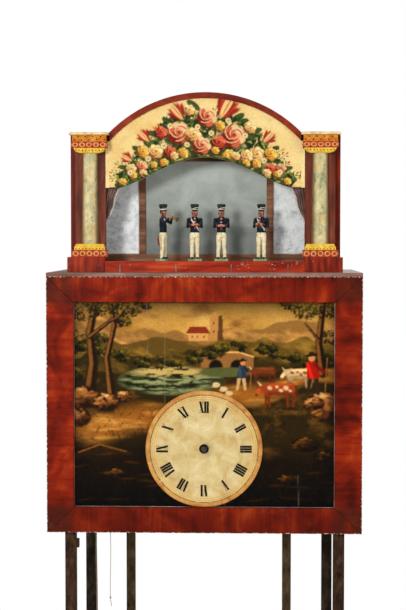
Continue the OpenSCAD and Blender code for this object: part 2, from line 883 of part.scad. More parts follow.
// Draped cloth in each upper corner, drawn back to the side
curtain_top = arch_low_h + 16;
curtain_low = arch_low_h - 68;
curtain_wave = 2.2;
curtain_y = pilaster_back_y + seat + curtain_wave;
module curtains() {
    outer = opening_half + 6;
    fold_w = 7;
    cloth = 1.5;
    color([0.38, 0.28, 0.24])
        both_sides()
            intersection() {
                // Cloth in deep upright folds
                translate([0, 0, stage_z + curtain_low])
                    linear_extrude(curtain_top - curtain_low)
                        polygon(concat(
                            [for (i = [0 : 24])
                                [outer - i * 1.5, curtain_y + curtain_wave * sin(i * 1.5 / fold_w * 360)]],
                            [for (i = [24 : -1 : 0])
                                [outer - i * 1.5,
                                 curtain_y + cloth + curtain_wave * sin(i * 1.5 / fold_w * 360)]]
                        ));
                // Outline of the drape from the front
                board_y([
                    [outer + 1, stage_z + curtain_top], [outer - 34, stage_z + curtain_top],
                    [outer - 29, stage_z + arch_low_h], [outer - 21, stage_z + arch_low_h - 18],
                    [outer - 18, stage_z + arch_low_h - 36], [outer - 11, stage_z + arch_low_h - 52],
                    [outer - 2, stage_z + curtain_low], [outer + 1, stage_z + curtain_low]
                ], curtain_y - 4, curtain_y + 6);
            }
}

module rail_pins() {
    color([0.75, 0.72, 0.65])
        for (x = [-160, -54, 50, 157])
            translate([x, plinth_y + 0.8, stage_z])
                cylinder(r = 0.8, h = 14.5, $fn = 24);
}

// Profile of a bandsman's coat, by radius and height
coat = [
    [0, 46], [10.2, 46], [9.6, 52], [8.4, 58], [9.2, 64], [10.8, 70],
    [11, 76], [9.8, 81], [7, 85], [3.4, 86.5], [3.4, 90], [0, 90]
];
head_h = 93.5;

// Bandsman facing the front, on the spindle that turns him
module bandsman(index) {
    translate([figure_x[index], figure_y, stage_z + stage_floor_h])
        rotate([0, 0, figure_turn[index]])
            difference() {
                union() {
                    // Base plate, spindle and the drive arm under the floor
                    color([0.45, 0.55, 0.3])
                        block([-figure_base_w / 2, -figure_base_d / 2, 0],
                              [figure_base_w / 2, figure_base_d / 2, figure_base_t]);
                    translate([0, 0, spindle_low - stage_floor_h])
                        cylinder(r = spindle_r, h = stage_floor_h);
                    block([-3, -3, spindle_low - stage_floor_h],
                          [12, 3, spindle_low - stage_floor_h + 3]);
                    // Legs
                    color([0.9, 0.84, 0.66])
                        for (side = [-1, 1])
                            translate([side * 5.2, 0, figure_base_t - eps])
                                cylinder(r1 = 3.9, r2 = 5.1, h = 48 - figure_base_t);
                    color([0.12, 0.12, 0.14])
                        rotate_extrude()
                            polygon(coat);
                    // Coat tails
                    color([0.5, 0.15, 0.12])
                        for (side = [-1, 1])
                            translate([side * 4, 7.2, 0])
                                block([-2.4, -1.6, 30], [2.4, 1.6, 50]);
                    // Head, cap and peak
                    color([0.72, 0.45, 0.33])
                        translate([0, 0, head_h])
                            sphere(r = 6, $fn = 32);
                    color([0.1, 0.1, 0.1])
                        translate([0, 0, head_h + 1.5])
                            cylinder(r1 = 6.2, r2 = 7.6, h = figure_h - head_h - 1.5);
                    color([0.1, 0.1, 0.1])
                        translate([0, -2, head_h + 1.5])
                            cylinder(r = 6.6, h = 1.2);
                }
                rod_x(shoulder_pin_r + run, 0, shoulder_h, -20, 20);
            }
}

// Elbows, hands and the ends of the instrument, for each bandsman
elbows = [[17, -9, 73], [17.5, -2, 66], [17.5, -2, 66], [17.5, -3, 66]];
hands = [[4, -17, 84], [5, -17, 70], [5, -17, 68], [5, -17, 71]];
instruments = [
    [[0, -12, 88], [0, -30, 80], 1.5, 4.6],
    [[0, -12, 84], [0, -22, 62], 1.2, 2.6],
    [[0, -12, 84], [0, -22, 60], 1.2, 2.4],
    [[0, -12, 85], [0, -25, 66], 1.2, 3.2]
];

// A bandsman's arms with the instrument that they hold, on the shoulder pin
module arms(index) {
    tool = instruments[index];
    translate([figure_x[index], figure_y, stage_z + stage_floor_h])
        rotate([0, 0, figure_turn[index]]) {
            color([0.12, 0.12, 0.14])
                union() {
                    rod_x(shoulder_pin_r, 0, shoulder_h, -shoulder_x, shoulder_x);
                    for (side = [-1, 1]) {
                        shoulder = [side * shoulder_x, 0, shoulder_h];
                        elbow = [side * elbows[index][0], elbows[index][1], elbows[index][2]];
                        hand = [side * hands[index][0], hands[index][1], hands[index][2]];
                        rod_x(3.7, 0, shoulder_h, side * shoulder_x - 3, side * shoulder_x + 3);
                        limb(shoulder, elbow, 3);
                        rod_x(3.3, elbow[1], elbow[2], elbow[0] - 3.2, elbow[0] + 3.2);
                        limb(elbow, hand, 2.5);
                    }
                    // Hands, joined round the instrument
                    rod_x(2.8, hands[index][1] - 0.7, hands[index][2] + 0.4,
                          -hands[index][0] - 1.6, hands[index][0] + 1.6);
                    d = tool[1] - tool[0];
                    translate(tool[0])
                        rotate([0, acos(d[2] / norm(d)), atan2(d[1], d[0])])
                            cylinder(r1 = tool[2], r2 = tool[3], h = norm(d), $fn = 32);
                }
        }
}

module bandsman_1() { bandsman(0); }
module bandsman_2() { bandsman(1); }
module bandsman_3() { bandsman(2); }
module bandsman_4() { bandsman(3); }
module arms_1() { arms(0); }
module arms_2() { arms(1); }
module arms_3() { arms(2); }
module arms_4() { arms(3); }

// Bores of the arbors through both plates
module arbor_bores() {
    for (z = [great_z, third_z, escape_z, anchor_z])
        rod_y(pivot_r + run, 0, z, plate_front_y - 1, plate_back_y + 1);
    rod_y(centre_arbor_r + run, 0, dial_z, plate_front_y - 1, plate_in_front + 1);
    rod_y(pivot_r + run, 0, dial_z, plate_in_back - 1, plate_back_y + 1);
}

// The two brass plates, four pillars and the stud of the minute wheel
module movement_frame() {
    color(brass)
        union() {
            difference() {
                for (y = [plate_front_y, plate_in_back])
                    block([-plate_w / 2, y, seat_z], [plate_w / 2, y + plate_t, plate_top]);
                arbor_bores();
            }
            for (x = [-plate_w / 2 + 5, plate_w / 2 - 5], z = [seat_z + 7, plate_top - 7])
                rod_y(3.5, x, z, plate_in_front - eps, plate_in_back + eps);
            rod_y(stud_r, motion_gap, dial_z, hour_y - 1.5, plate_front_y + eps);
        }
}

module seat_board() {
    color(pine)
        difference() {
            block([-plate_w / 2 - 20, plate_front_y - 4, inside_z],
                  [plate_w / 2 + 20, plate_back_y + 2, seat_z]);
            block([-20, plate_in_front + 8, inside_z - 1],
                  [20, plate_in_front + 30, seat_z + 1]);
        }
}

// Arbor between the plates, on a thinner bar that ends in the two pivots
module arbor(z, r, back_y = plate_back_y + 0.5) {
    rod_y(r, 0, z, plate_in_front + seat, plate_in_back - seat);
    rod_y(pivot_r, 0, z, plate_front_y - 0.5, back_y);
}

module great_wheel() {
    drum_front = plate_in_front + 10;
    color(brass)
        union() {
            arbor(great_z, 3);
            difference() {
                gear_y(great_teeth, great_m, 0, great_z, great_y, great_y + 4, 90);
                spoke_holes_y(0, great_z, great_y - 1, great_y + 5, 44, 15, 11, 4);
            }
            rod_y(14, 0, great_z, drum_front, great_y + eps);
            rod_y(19, 0, great_z, drum_front - 2, drum_front);
        }
}

module centre_wheel() {
    color(brass)
        union() {
            rod_y(3, 0, dial_z, plate_in_front + seat, plate_in_back - seat);
            rod_y(pivot_r, 0, dial_z, plate_in_back - 1, plate_back_y + 0.5);
            rod_y(centre_arbor_r, 0, dial_z, front_y + 1.5, plate_in_front + 1);
            translate([0, front_y + centre_arbor_r, dial_z])
                sphere(r = centre_arbor_r);
            difference() {
                gear_y(centre_teeth, centre_m, 0, dial_z, centre_y, centre_y + wheel_t, 90);
                spoke_holes_y(0, dial_z, centre_y - 1, centre_y + wheel_t + 1, 31, 8, 8, 4);
            }
            gear_y(centre_pinion_teeth, great_m, 0, dial_z, great_y - 1, great_y + 5, -90, 0.5);
        }
}

module third_wheel() {
    color(brass)
        union() {
            arbor(third_z, 2);
            gear_y(pinion_teeth, centre_m, 0, third_z, centre_y - 0.5,
                   centre_y + wheel_t + 0.5, -90, 0.5);
            difference() {
                gear_y(third_teeth, third_m, 0, third_z, third_y, third_y + wheel_t, 90);
                spoke_holes_y(0, third_z, third_y - 1, third_y + wheel_t + 1, 26, 7, 6.5, 4);
            }
        }
}

module escape_wheel() {
    color(brass)
        union() {
            arbor(escape_z, 2);
            gear_y(pinion_teeth, third_m, 0, escape_z, third_y - 0.5,
                   third_y + wheel_t + 0.5, -90, 0.5);
            // Leaning saw teeth
            translate([0, escape_y, escape_z])
                rotate([-90, 0, 0])
                    linear_extrude(2)
                        polygon([for (i = [0 : 2 * escape_teeth - 1])
                            let (tip = i % 2 == 1, r = tip ? escape_r : escape_r - 3,
                                 a = 180 / escape_teeth * (i + (tip ? 0.7 : 0)))
                            [r * cos(a), r * sin(a)]]);
        }
}

// Crossing arbor with its anchor, and the pendulum behind the back plate
module pendulum() {
    rod_plane = plate_back_y + 6;
    bob_z = anchor_z - pendulum_l;
    tip_x = (escape_r + 2.2) * sin(42);
    tip_z = (escape_r + 2.2) * cos(42) - anchor_rise;
    union() {
        color(steel) {
            arbor(anchor_z, 1.8, rod_plane + 1);
            board_y([
                [-tip_x, anchor_z + tip_z], [-tip_x + 3, anchor_z - 3], [0, anchor_z - 2.6],
                [tip_x - 3, anchor_z - 3], [tip_x, anchor_z + tip_z],
                [tip_x + 2, anchor_z + tip_z + 1], [tip_x + 1, anchor_z - 1],
                [4, anchor_z + 4], [-4, anchor_z + 4],
                [-tip_x - 1, anchor_z - 1], [-tip_x - 2, anchor_z + tip_z + 1]
            ], escape_y - 1, escape_y + 3);
        }
        color(steel)
            translate([0, rod_plane, bob_z + bob_d / 2 - 4])
                cylinder(r = 1.5, h = pendulum_l - bob_d / 2 + 3);
        color(brass)
            union() {
                rod_y(bob_d / 2, 0, bob_z, rod_plane - 2, rod_plane + 2);
                rod_y(bob_d / 2 - 5, 0, bob_z, rod_plane - 4, rod_plane + 4);
            }
        color(steel)
            rod_y(3.5, 0, anchor_z, rod_plane - 2, rod_plane + 2);
    }
}

module cannon_pinion() {
    color(brass)
        difference() {
            union() {
                gear_y(cannon_teeth, cannon_m, 0, dial_z, cannon_y, cannon_y + 3.5, 0);
                rod_y(cannon_pipe_r, 0, dial_z, front_y + 1, cannon_y + 4.5);
            }
            rod_y(centre_arbor_r + run, 0, dial_z, front_y, plate_front_y);
        }
}

module minute_wheel() {
    color(brass)
        difference() {
            union() {
                gear_y(minute_teeth, cannon_m, motion_gap, dial_z, cannon_y, cannon_y + 3.5,
                       180, 0.5);
                gear_y(minute_pinion_teeth, hour_m, motion_gap, dial_z, hour_y,
                       cannon_y + eps, 180, 0.5);
            }
            rod_y(stud_r + run, motion_gap, dial_z, hour_y - 1, plate_front_y);
        }
}

module hour_wheel() {
    color(brass)
        difference() {
            union() {
                gear_y(hour_teeth, hour_m, 0, dial_z, hour_y + 0.5, hour_y + 4, 0);
                rod_y(hour_pipe_r, 0, dial_z, front_y + 3, hour_y + 4);
            }
            rod_y(cannon_pipe_r + run, 0, dial_z, front_y, plate_front_y);
        }
}

// Three boards that carry the organ's arbors, the barrel and the keys
module organ_cheeks() {
    color(pine)
        difference() {
            for (x = [left_cheek_x, mid_cheek_x, right_cheek_x])
                block([x, cheek_low_y, inside_z], [x + cheek_t, cheek_high_y, inside_z + cheek_h]);
            for (x = [mid_cheek_x, right_cheek_x]) {
                rod_x(axle_r + run, organ_y, barrel_z, x - 1, x + cheek_t + 1);
                rod_x(key_pin_r + run, key_y, barrel_z, x - 1, x + cheek_t + 1);
            }
            for (x = [left_cheek_x, mid_cheek_x]) {
                rod_x(axle_r + run, organ_y, organ_great_z, x - 1, x + cheek_t + 1);
                rod_x(axle_r + run, organ_y, crank_z, x - 1, x + cheek_t + 1);
                rod_x(pivot_r + run, fly_y, crank_z, x - 1, x + cheek_t + 1);
            }
        }
}

// Wooden barrel with its brass wheel, axle and the knob that changes the tune
module barrel() {
    union() {
        color([0.8, 0.7, 0.5])
            rod_x(barrel_r, organ_y, barrel_z, barrel_x, barrel_x + barrel_l);
        color(steel) {
            rod_x(axle_r, organ_y, barrel_z, mid_cheek_x - 1, right_cheek_x + cheek_t + 8);
            rod_x(axle_r + 3, organ_y, barrel_z, mid_cheek_x + cheek_t + seat,
                  right_cheek_x - seat);
        }
        color(brass) {
            gear_x(barrel_wheel_teeth, organ_m, organ_y, barrel_z, barrel_wheel_x,
                   barrel_wheel_x + 6, 0);
            rod_x(12, organ_y, barrel_z, right_cheek_x + cheek_t + 3,
                  right_cheek_x + cheek_t + 12);
        }
    }
}

// Rocking rail with one key for each pipe
module key_frame() {
    first = barrel_x + barrel_l / 2 - (pipe_count - 1) / 2 * key_pitch;
    color(pine)
        union() {
            rod_x(key_pin_r, key_y, barrel_z, mid_cheek_x - 1, right_cheek_x + cheek_t + 1);
            block([mid_cheek_x + cheek_t + 1, key_y - 6, barrel_z - 6],
                  [right_cheek_x - 1, key_y + 6, barrel_z + 6]);
            for (i = [0 : pipe_count - 1])
                block([first + i * key_pitch - key_w / 2, organ_y + barrel_r + 3, barrel_z - 3],
                      [first + i * key_pitch + key_w / 2, key_y + key_tail, barrel_z + 3]);
        }
}

// Wind chest on its feet, the wires from the keys and the lower bellows board
module wind_chest() {
    half = pipe_count * pipe_pitch / 2 + 4;
    first = barrel_x + barrel_l / 2 - (pipe_count - 1) / 2 * key_pitch;
    ear_y = bellows_axis_y;
    color(pine) {
        union() {
            block([-half, chest_y, chest_low], [half, chest_y + chest_d, chest_top]);
            both_sides()
                block([half - 30, chest_y + 6, inside_z], [half - 10, chest_y + chest_d, chest_low]);
        }
        difference() {
            union() {
                block([bellows_x - 5, bellows_y, inside_z],
                      [bellows_x + bellows_w + 5, bellows_y + bellows_d, bellows_base_top]);
                for (x = [bellows_x - 5, bellows_x + bellows_w + 1])
                    block([x, ear_y - 8, inside_z], [x + 4, ear_y + 6, bellows_axis_z + 8]);
            }
            rod_x(bellows_pin_r + run, ear_y, bellows_axis_z,
                  bellows_x - 6, bellows_x + bellows_w + 6);
        }
    }
    color(steel)
        for (i = [0 : pipe_count - 1])
            translate([first + i * key_pitch, sticker_y, chest_top + joint])
                cylinder(r = sticker_r, h = barrel_z - 7.5 - chest_top - joint, $fn = 16);
}

// Stopped wooden pipes, each with a foot, a mouth and a stopper
module pipes() {
    color([0.7, 0.5, 0.3])
        for (i = [0 : pipe_count - 1]) {
            x = (i - (pipe_count - 1) / 2) * pipe_pitch;
            h = pipe_short * pow(pipe_long / pipe_short, 1 - i / (pipe_count - 1));
            low = chest_top + pipe_foot_h;
            difference() {
                union() {
                    translate([x, pipe_y + pipe_d / 2, chest_top])
                        cylinder(r = 4, h = pipe_foot_h + 1);
                    block([x - pipe_w / 2, pipe_y, low], [x + pipe_w / 2, pipe_y + pipe_d, low + h]);
                    translate([x, pipe_y + pipe_d / 2, low + h - 1])
                        cylinder(r = 4.5, h = 11);
                }
                // Mouth cut into the rear face
                translate([x - pipe_w / 2 + 2, pipe_y + pipe_d, low + 22])
                    rotate([90, 0, 90])
                        linear_extrude(pipe_w - 4)
                            polygon([[1, 0], [1, 16], [0, 16], [-6, 5], [-6, 0]]);
            }
        }
}

module bellows_top() {
    color(pine)
        difference() {
            union() {
                block([bellows_x, bellows_y, bellows_low],
                      [bellows_x + bellows_w, bellows_y + bellows_d, bellows_top_z]);
                rod_x(bellows_pin_r, bellows_axis_y, bellows_axis_z,
                      bellows_x - 5, bellows_x + bellows_w + 5);
                // Lug and pin for the pump rod
                block([rod_x + rod_t + 0.5, organ_y - 6, bellows_top_z - eps],
                      [rod_x + rod_t + 6.5, organ_y + 6, rod_foot_z + 6]);
                rod_x(rod_pin_r, organ_y, rod_foot_z, rod_x - 1, rod_x + rod_t + 2);
            }
        }
}

// Folded leather wall between the two boards, drawn in half way up
module bellows_leather() {
    fold = 6;
    wall = 3;
    x0 = bellows_x + 1;
    y0 = bellows_y + 1;
    w = bellows_w - 2;
    d = bellows_d - 16;
    mid = bellows_h / 2;
    color([0.55, 0.4, 0.28])
        for (side = [[0, w], [1, d]], far = [0, 1])
            translate([side[0] == 0 ? x0 : (far == 0 ? x0 : x0 + w),
                       side[0] == 0 ? (far == 0 ? y0 : y0 + d) : y0, bellows_base_top])
                mirror(side[0] == 0 ? [0, far, 0] : [far, 0, 0])
                    leather_wall(side[0] == 0 ? w : d, side[0] == 0, fold, wall, mid);
}

// One wall with its fold, running along X or along Y
module leather_wall(l, along_x, fold, wall, mid) {
    profile = [[0, 0], [fold, mid], [0, 2 * mid], [wall, 2 * mid], [fold + wall, mid], [wall, 0]];
    if (along_x)
        rotate([90, 0, 90])
            linear_extrude(l)
                polygon(profile);
    else
        translate([0, l, 0])
            rotate([90, 0, 0])
                linear_extrude(l)
                    polygon(profile);
}

// Wheel that the organ's weight drives, with the drum of its line
module organ_great_wheel() {
    color(brass)
        union() {
            rod_x(axle_r, organ_y, organ_great_z, left_cheek_x - 1, mid_cheek_x + cheek_t + 1);
            rod_x(axle_r + 3, organ_y, organ_great_z, left_cheek_x + cheek_t + seat,
                  mid_cheek_x - seat);
            difference() {
                gear_x(great_organ_teeth, great_organ_m, organ_y, organ_great_z,
                       great_organ_x, great_organ_x + 6, 180);
                for (a = [0 : 72 : 288])
                    translate([great_organ_x - 1, organ_y, organ_great_z])
                        rotate([0, 90, 0])
                            rotate([0, 0, a + 30])
                                translate([38, 0, 0])
                                    cylinder(r = 9, h = 8);
            }
            rod_x(drum_r, organ_y, organ_great_z, great_organ_x + 6 - eps, drum_x + drum_l + 1);
            rod_x(drum_flange_r, organ_y, organ_great_z, drum_x + drum_l, drum_x + drum_l + 2);
        }
}

// Second arbor of the organ, with two pinions, the fly wheel and the crank
module crank_shaft() {
    color(brass)
        union() {
            rod_x(axle_r, organ_y, crank_z, left_cheek_x - 1, barrel_wheel_x + 12);
            gear_x(barrel_pinion_teeth, great_organ_m, organ_y, crank_z,
                   great_organ_x - 1, great_organ_x + 7, 0, 0.5);
            gear_x(barrel_pinion_teeth, organ_m, organ_y, crank_z,
                   barrel_wheel_x - 1, barrel_wheel_x + 7, 180, 0.5);
            difference() {
                gear_x(fly_wheel_teeth, organ_m, organ_y, crank_z, fly_wheel_x, fly_wheel_x + 3, 90);
                for (a = [0 : 90 : 270])
                    translate([fly_wheel_x - 1, organ_y, crank_z])
                        rotate([0, 90, 0])
                            rotate([0, 0, a + 45])
                                translate([23, 0, 0])
                                    cylinder(r = 10, h = 5);
            }
            // Crank arm at its lowest, with the pin that faces the pump rod
            rod_x(7, organ_y, crank_z, barrel_wheel_x + 9, barrel_wheel_x + 13);
            block([barrel_wheel_x + 9, organ_y - 4, crank_z - crank_r],
                  [barrel_wheel_x + 13, organ_y + 4, crank_z]);
            rod_x(4, organ_y, crank_z - crank_r, barrel_wheel_x + 9, barrel_wheel_x + 13);
            rod_x(2, organ_y, crank_z - crank_r, barrel_wheel_x + 13 - eps, rod_x - 0.5);
        }
}

// Air brake: a flat vane with a weighted bar along each end
module fly() {
    color(brass)
        union() {
            rod_x(pivot_r, fly_y, crank_z, left_cheek_x - 0.5, mid_cheek_x + cheek_t + 0.5);
            rod_x(2, fly_y, crank_z, left_cheek_x + cheek_t + seat, mid_cheek_x - seat);
            gear_x(fly_pinion_teeth, organ_m, fly_y, crank_z, fly_wheel_x - 1, fly_wheel_x + 4,
                   -90, 0.5);
            block([drum_x + 1, fly_y - vane_l / 2, crank_z - vane_t / 2],
                  [drum_x + drum_l - 1, fly_y + vane_l / 2, crank_z + vane_t / 2]);
            for (y = [fly_y - vane_l / 2, fly_y + vane_l / 2 - vane_tip])
                block([drum_x + 1, y, crank_z - vane_tip / 2],
                      [drum_x + drum_l - 1, y + vane_tip, crank_z + vane_tip / 2]);
        }
}

// Rod from the crank to the bellows, with an eye at each end
module pump_rod() {
    top_z = crank_z - crank_r;
    color([0.6, 0.45, 0.28])
        difference() {
            union() {
                block([rod_x, organ_y - 4, rod_foot_z], [rod_x + rod_t, organ_y + 4, top_z]);
                for (z = [rod_foot_z, top_z])
                    rod_x(6, organ_y, z, rod_x, rod_x + rod_t);
            }
            rod_x(rod_pin_r + run, organ_y, rod_foot_z, rod_x - 1, rod_x + rod_t + 1);
            rod_x(rod_pin_r + run, organ_y, top_z, rod_x - 1, rod_x + rod_t + 1);
        }
}

// Round cord through level rings at the points of a route
module cord(route, x, y, d) {
    sides = 8;
    rings = len(route);
    points = [
        for (p = route, i = [0 : sides - 1])
            [x + p[0] + d / 2 * cos(360 / sides * i), y + p[1] + d / 2 * sin(360 / sides * i),
             case_z + p[2]]
    ];
    walls = [
        for (j = [0 : rings - 2], i = [0 : sides - 1])
            let (k = (i + 1) % sides)
            for (face = [
                [j * sides + i, j * sides + k, (j + 1) * sides + k],
                [j * sides + i, (j + 1) * sides + k, (j + 1) * sides + i]
            ]) face
    ];
    first = [for (i = [1 : sides - 2]) [0, i + 1, i]];
    last_ring = (rings - 1) * sides;
    last = [for (i = [1 : sides - 2]) [last_ring, last_ring + i, last_ring + i + 1]];
    polyhedron(points, concat(walls, first, last));
}

// Pull string of the tune, with a knot above its loose end
module strike_string() {
    color([0.6, 0.58, 0.52])
        union() {
            cord(string_route, string_x, string_y, string_d);
            translate([string_x + 0.1, string_y + 0.3, case_z - 138])
                sphere(r = 2.2, $fn = 24);
        }
}

// Line of the organ's weight, hanging from the drum
module weight_cord() {
    color([0.45, 0.38, 0.3])
        cord(line_route, line_x, line_y, line_d);
}

// Ferrule and ring that take the organ's weight
module weight_hook() {
    x = line_x + 3.4;
    top = case_z - 212;
    color(brass)
        union() {
            translate([x, line_y, top - 14])
                cylinder(r = 2.8, h = 14);
            translate([x, line_y, top - 24])
                rotate([90, 0, 0])
                    rotate_extrude()
                        translate([10, 0])
                            circle(r = 1.6, $fn = 24);
        }
}

// Sliding rod that the string pulls down to let the tune start
module trip_rod() {
    color(brass)
        union() {
            translate([string_x, string_y, trip_low])
                cylinder(r = trip_r, h = 52);
            translate([string_x, string_y, inside_z + 39])
                cylinder(r = 5, h = 4);
        }
}

front_legs();
rear_legs();
inner_legs();
stand_frame();
front_frame();
painted_panel();
dial();
carcass();
bottom_board();
top_board();
left_door();
right_door();
door_hinges();
stage_floor();
front_rail();
plinths();
pilasters();
columns();
capitals();
arch_board();
stage_roof();
stage_sides();
backboard();
backdrop_panel();
mirrors();
curtains();
rail_pins();
bandsman_1();
bandsman_2();
bandsman_3();
bandsman_4();
arms_1();
arms_2();
arms_3();
arms_4();
movement_frame();
seat_board();
centre_wheel();
cannon_pinion();
great_wheel();
third_wheel();
escape_wheel();
pendulum();
minute_wheel();
hour_wheel();
organ_cheeks();
barrel();
key_frame();
pipes();
wind_chest();
bellows_top();
bellows_leather();
organ_great_wheel();
crank_shaft();
fly();
pump_rod();
strike_string();
weight_cord();
weight_hook();
trip_rod();
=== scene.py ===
import math
import random

import bmesh
import bpy
import numpy as np
from mathutils import Matrix, Vector


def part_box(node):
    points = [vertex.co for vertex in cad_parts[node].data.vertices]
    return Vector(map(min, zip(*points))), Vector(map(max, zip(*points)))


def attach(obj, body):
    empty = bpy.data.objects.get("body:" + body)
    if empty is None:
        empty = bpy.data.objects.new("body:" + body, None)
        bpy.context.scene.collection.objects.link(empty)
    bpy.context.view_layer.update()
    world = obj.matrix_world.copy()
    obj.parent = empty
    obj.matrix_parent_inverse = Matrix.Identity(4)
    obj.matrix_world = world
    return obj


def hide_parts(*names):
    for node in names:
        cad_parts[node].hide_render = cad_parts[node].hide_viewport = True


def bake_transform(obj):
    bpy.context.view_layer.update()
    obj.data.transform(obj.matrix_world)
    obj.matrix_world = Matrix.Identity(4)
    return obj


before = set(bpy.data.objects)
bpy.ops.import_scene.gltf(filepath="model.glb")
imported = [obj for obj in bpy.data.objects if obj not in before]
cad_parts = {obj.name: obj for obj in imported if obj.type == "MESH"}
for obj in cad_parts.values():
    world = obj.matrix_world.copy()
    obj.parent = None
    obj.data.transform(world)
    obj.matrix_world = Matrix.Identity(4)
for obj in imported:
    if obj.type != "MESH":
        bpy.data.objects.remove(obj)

MM = 0.001
TAU = 2 * math.pi
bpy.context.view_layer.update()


def span(node):
    """Lowest and highest corner of a node, in millimetres."""
    low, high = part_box(node)
    return low / MM, high / MM


def srgb(*levels):
    """Linear colour from the usual 0 to 255 values."""
    parts = [level / 255 for level in levels]
    return tuple(v / 12.92 if v <= 0.04045 else ((v + 0.055) / 1.055) ** 2.4 for v in parts)


def tones(text):
    """Linear colours from 0 to 255 values, dark to light."""
    return [srgb(*map(int, one.split())) for one in text.split(",")]


def shade(tone, times):
    """The same tone, so many times as light."""
    return tuple(min(value * times, 1) for value in tone)


def circle(count):
    """Evenly spaced angles of a full turn."""
    return [TAU * k / count for k in range(count)]


# Main levels and planes, read from the frame
frame_low, frame_high = span("front_frame")
panel_low, panel_high = span("painted_panel")
dial_low, dial_high = span("dial")
FRONT_Y = frame_low.y
PANEL_Y = panel_low.y
STAGE_Z = span("top_board")[1].z
DIAL_Z = (dial_low.z + dial_high.z) / 2
STILE_W = 51
RAIL_W = 48
SIGHT_X = frame_high.x - STILE_W
SIGHT_Z0, SIGHT_Z1 = frame_low.z + RAIL_W, frame_high.z - RAIL_W


# Camera, a little to the right of the middle and turned back towards it

IMAGE_H = 610
SENSOR = 36
EYE = Vector((88.3, -2843, 1300)) * MM
PITCH = 2.6
YAW = 1.92
FOCAL_PIXELS = 1445
camera_data = bpy.data.cameras.new("camera")
camera_data.sensor_width = SENSOR
camera_data.lens = FOCAL_PIXELS * SENSOR / IMAGE_H
camera_data.clip_start = 0.05
camera = bpy.data.objects.new("camera", camera_data)
camera.location = EYE
camera.rotation_euler = (math.radians(90 - PITCH), 0, math.radians(YAW))
bpy.context.scene.collection.objects.link(camera)
bpy.context.scene.camera = camera
bpy.context.scene.view_settings.view_transform = "Standard"


# Materials

class Value:
    """Socket of a shader, with sums and products that add math nodes."""

    def __init__(self, tree, socket):
        self.tree, self.socket = tree, socket

    def __add__(self, other):
        return self.tree.math("ADD", self, other)

    def __mul__(self, other):
        return self.tree.math("MULTIPLY", self, other)

    def __sub__(self, other):
        return self.tree.math("SUBTRACT", self, other)

    def __rsub__(self, other):
        return self.tree.math("SUBTRACT", other, self)

    def __abs__(self):
        return self.tree.math("ABSOLUTE", self)

    __radd__, __rmul__ = __add__, __mul__


class Tree:
    """Nodes of a material or of the world."""

    def __init__(self, tree):
        self.nodes, self.links = tree.nodes, tree.links

    def put(self, socket, value):
        if isinstance(value, Value):
            self.links.new(value.socket, socket)
        elif isinstance(value, (tuple, list)) and len(value) == 3 and socket.type == "RGBA":
            socket.default_value = (*value, 1)
        else:
            socket.default_value = value

    def add(self, kind, output, inputs, **settings):
        """New node with settings and inputs. Gives one of its outputs."""
        node = self.nodes.new("ShaderNode" + kind)
        for key, value in settings.items():
            setattr(node, key, value)
        for key, value in inputs.items():
            self.put(node.inputs[key], value)
        return Value(self, node.outputs[output])

    def math(self, kind, a, b=0.0, clamp=False):
        return self.add("Math", 0, {0: a, 1: b}, operation=kind, use_clamp=clamp)


class Finish(Tree):
    """A procedural material over the frame's own coordinates, in metres."""

    def __init__(self, name):
        self.material = bpy.data.materials.new(name)
        self.material.use_nodes = True
        super().__init__(self.material.node_tree)
        self.place = self.add("TexCoord", "Object", {})

    def noise(self, size, stretch=(1, 1, 1), detail=5, rough=0.55, warp=0.0, turn=(0, 0, 0)):
        """Noise from 0 to 1 whose blotches are about size millimetres wide."""
        place = self.add("Mapping", "Vector",
                         {"Vector": self.place, "Scale": stretch, "Rotation": turn})
        return self.add("TexNoise", "Fac", {
            "Vector": place, "Scale": 1 / (size * MM), "Detail": detail, "Roughness": rough,
            "Distortion": warp})

    def axis(self, letter):
        return self.add("SeparateXYZ", letter, {"Vector": self.place})

    def between(self, value, low, high):
        """0 below low and 1 above high, with a smooth step."""
        return self.add("MapRange", "Result", {"Value": value, "From Min": low, "From Max": high},
                        interpolation_type="SMOOTHSTEP")

    def ramp(self, value, places, shades):
        node = self.nodes.new("ShaderNodeValToRGB")
        self.put(node.inputs["Fac"], value)
        spots = node.color_ramp.elements
        while len(spots) < len(shades):
            spots.new(0.5)
        for spot, place, colour in zip(spots, places, shades):
            spot.position = place
            spot.color = (*colour, 1)
        return Value(self, node.outputs["Color"])

    def mix(self, amount, a, b, kind="MIX"):
        return self.add("Mix", 2, {"Factor": amount, 6: a, 7: b}, data_type="RGBA",
                        blend_type=kind)

    def stain(self, colour, value, low, high, tone, strength=1):
        """Another tone laid over the colour where a value passes from low to high."""
        cover = self.between(value, low, high)
        return self.mix(cover if strength == 1 else cover * strength, colour, tone)

    def done(self, colour, rough=0.5, metal=0.0, height=None, depth=0.3, coat=0.0, sheen=0.0,
             shine=0.08):
        """Set the shader. Height is a value, depth its relief in millimetres."""
        inputs = self.nodes["Principled BSDF"].inputs
        for key, value in (("Specular IOR Level", shine), ("Base Color", colour),
                           ("Roughness", rough), ("Metallic", metal), ("Coat Weight", coat),
                           ("Coat Roughness", 0.25), ("Sheen Weight", sheen)):
            self.put(inputs[key], value)
        if height is not None:
            self.put(inputs["Normal"], self.add("Bump", "Normal", {
                "Strength": 1.0, "Distance": depth * MM, "Height": height}))
        return self.material


GRAIN = {"X": (0.07, 1, 1), "Y": (1, 0.07, 1), "Z": (1, 1, 0.07)}


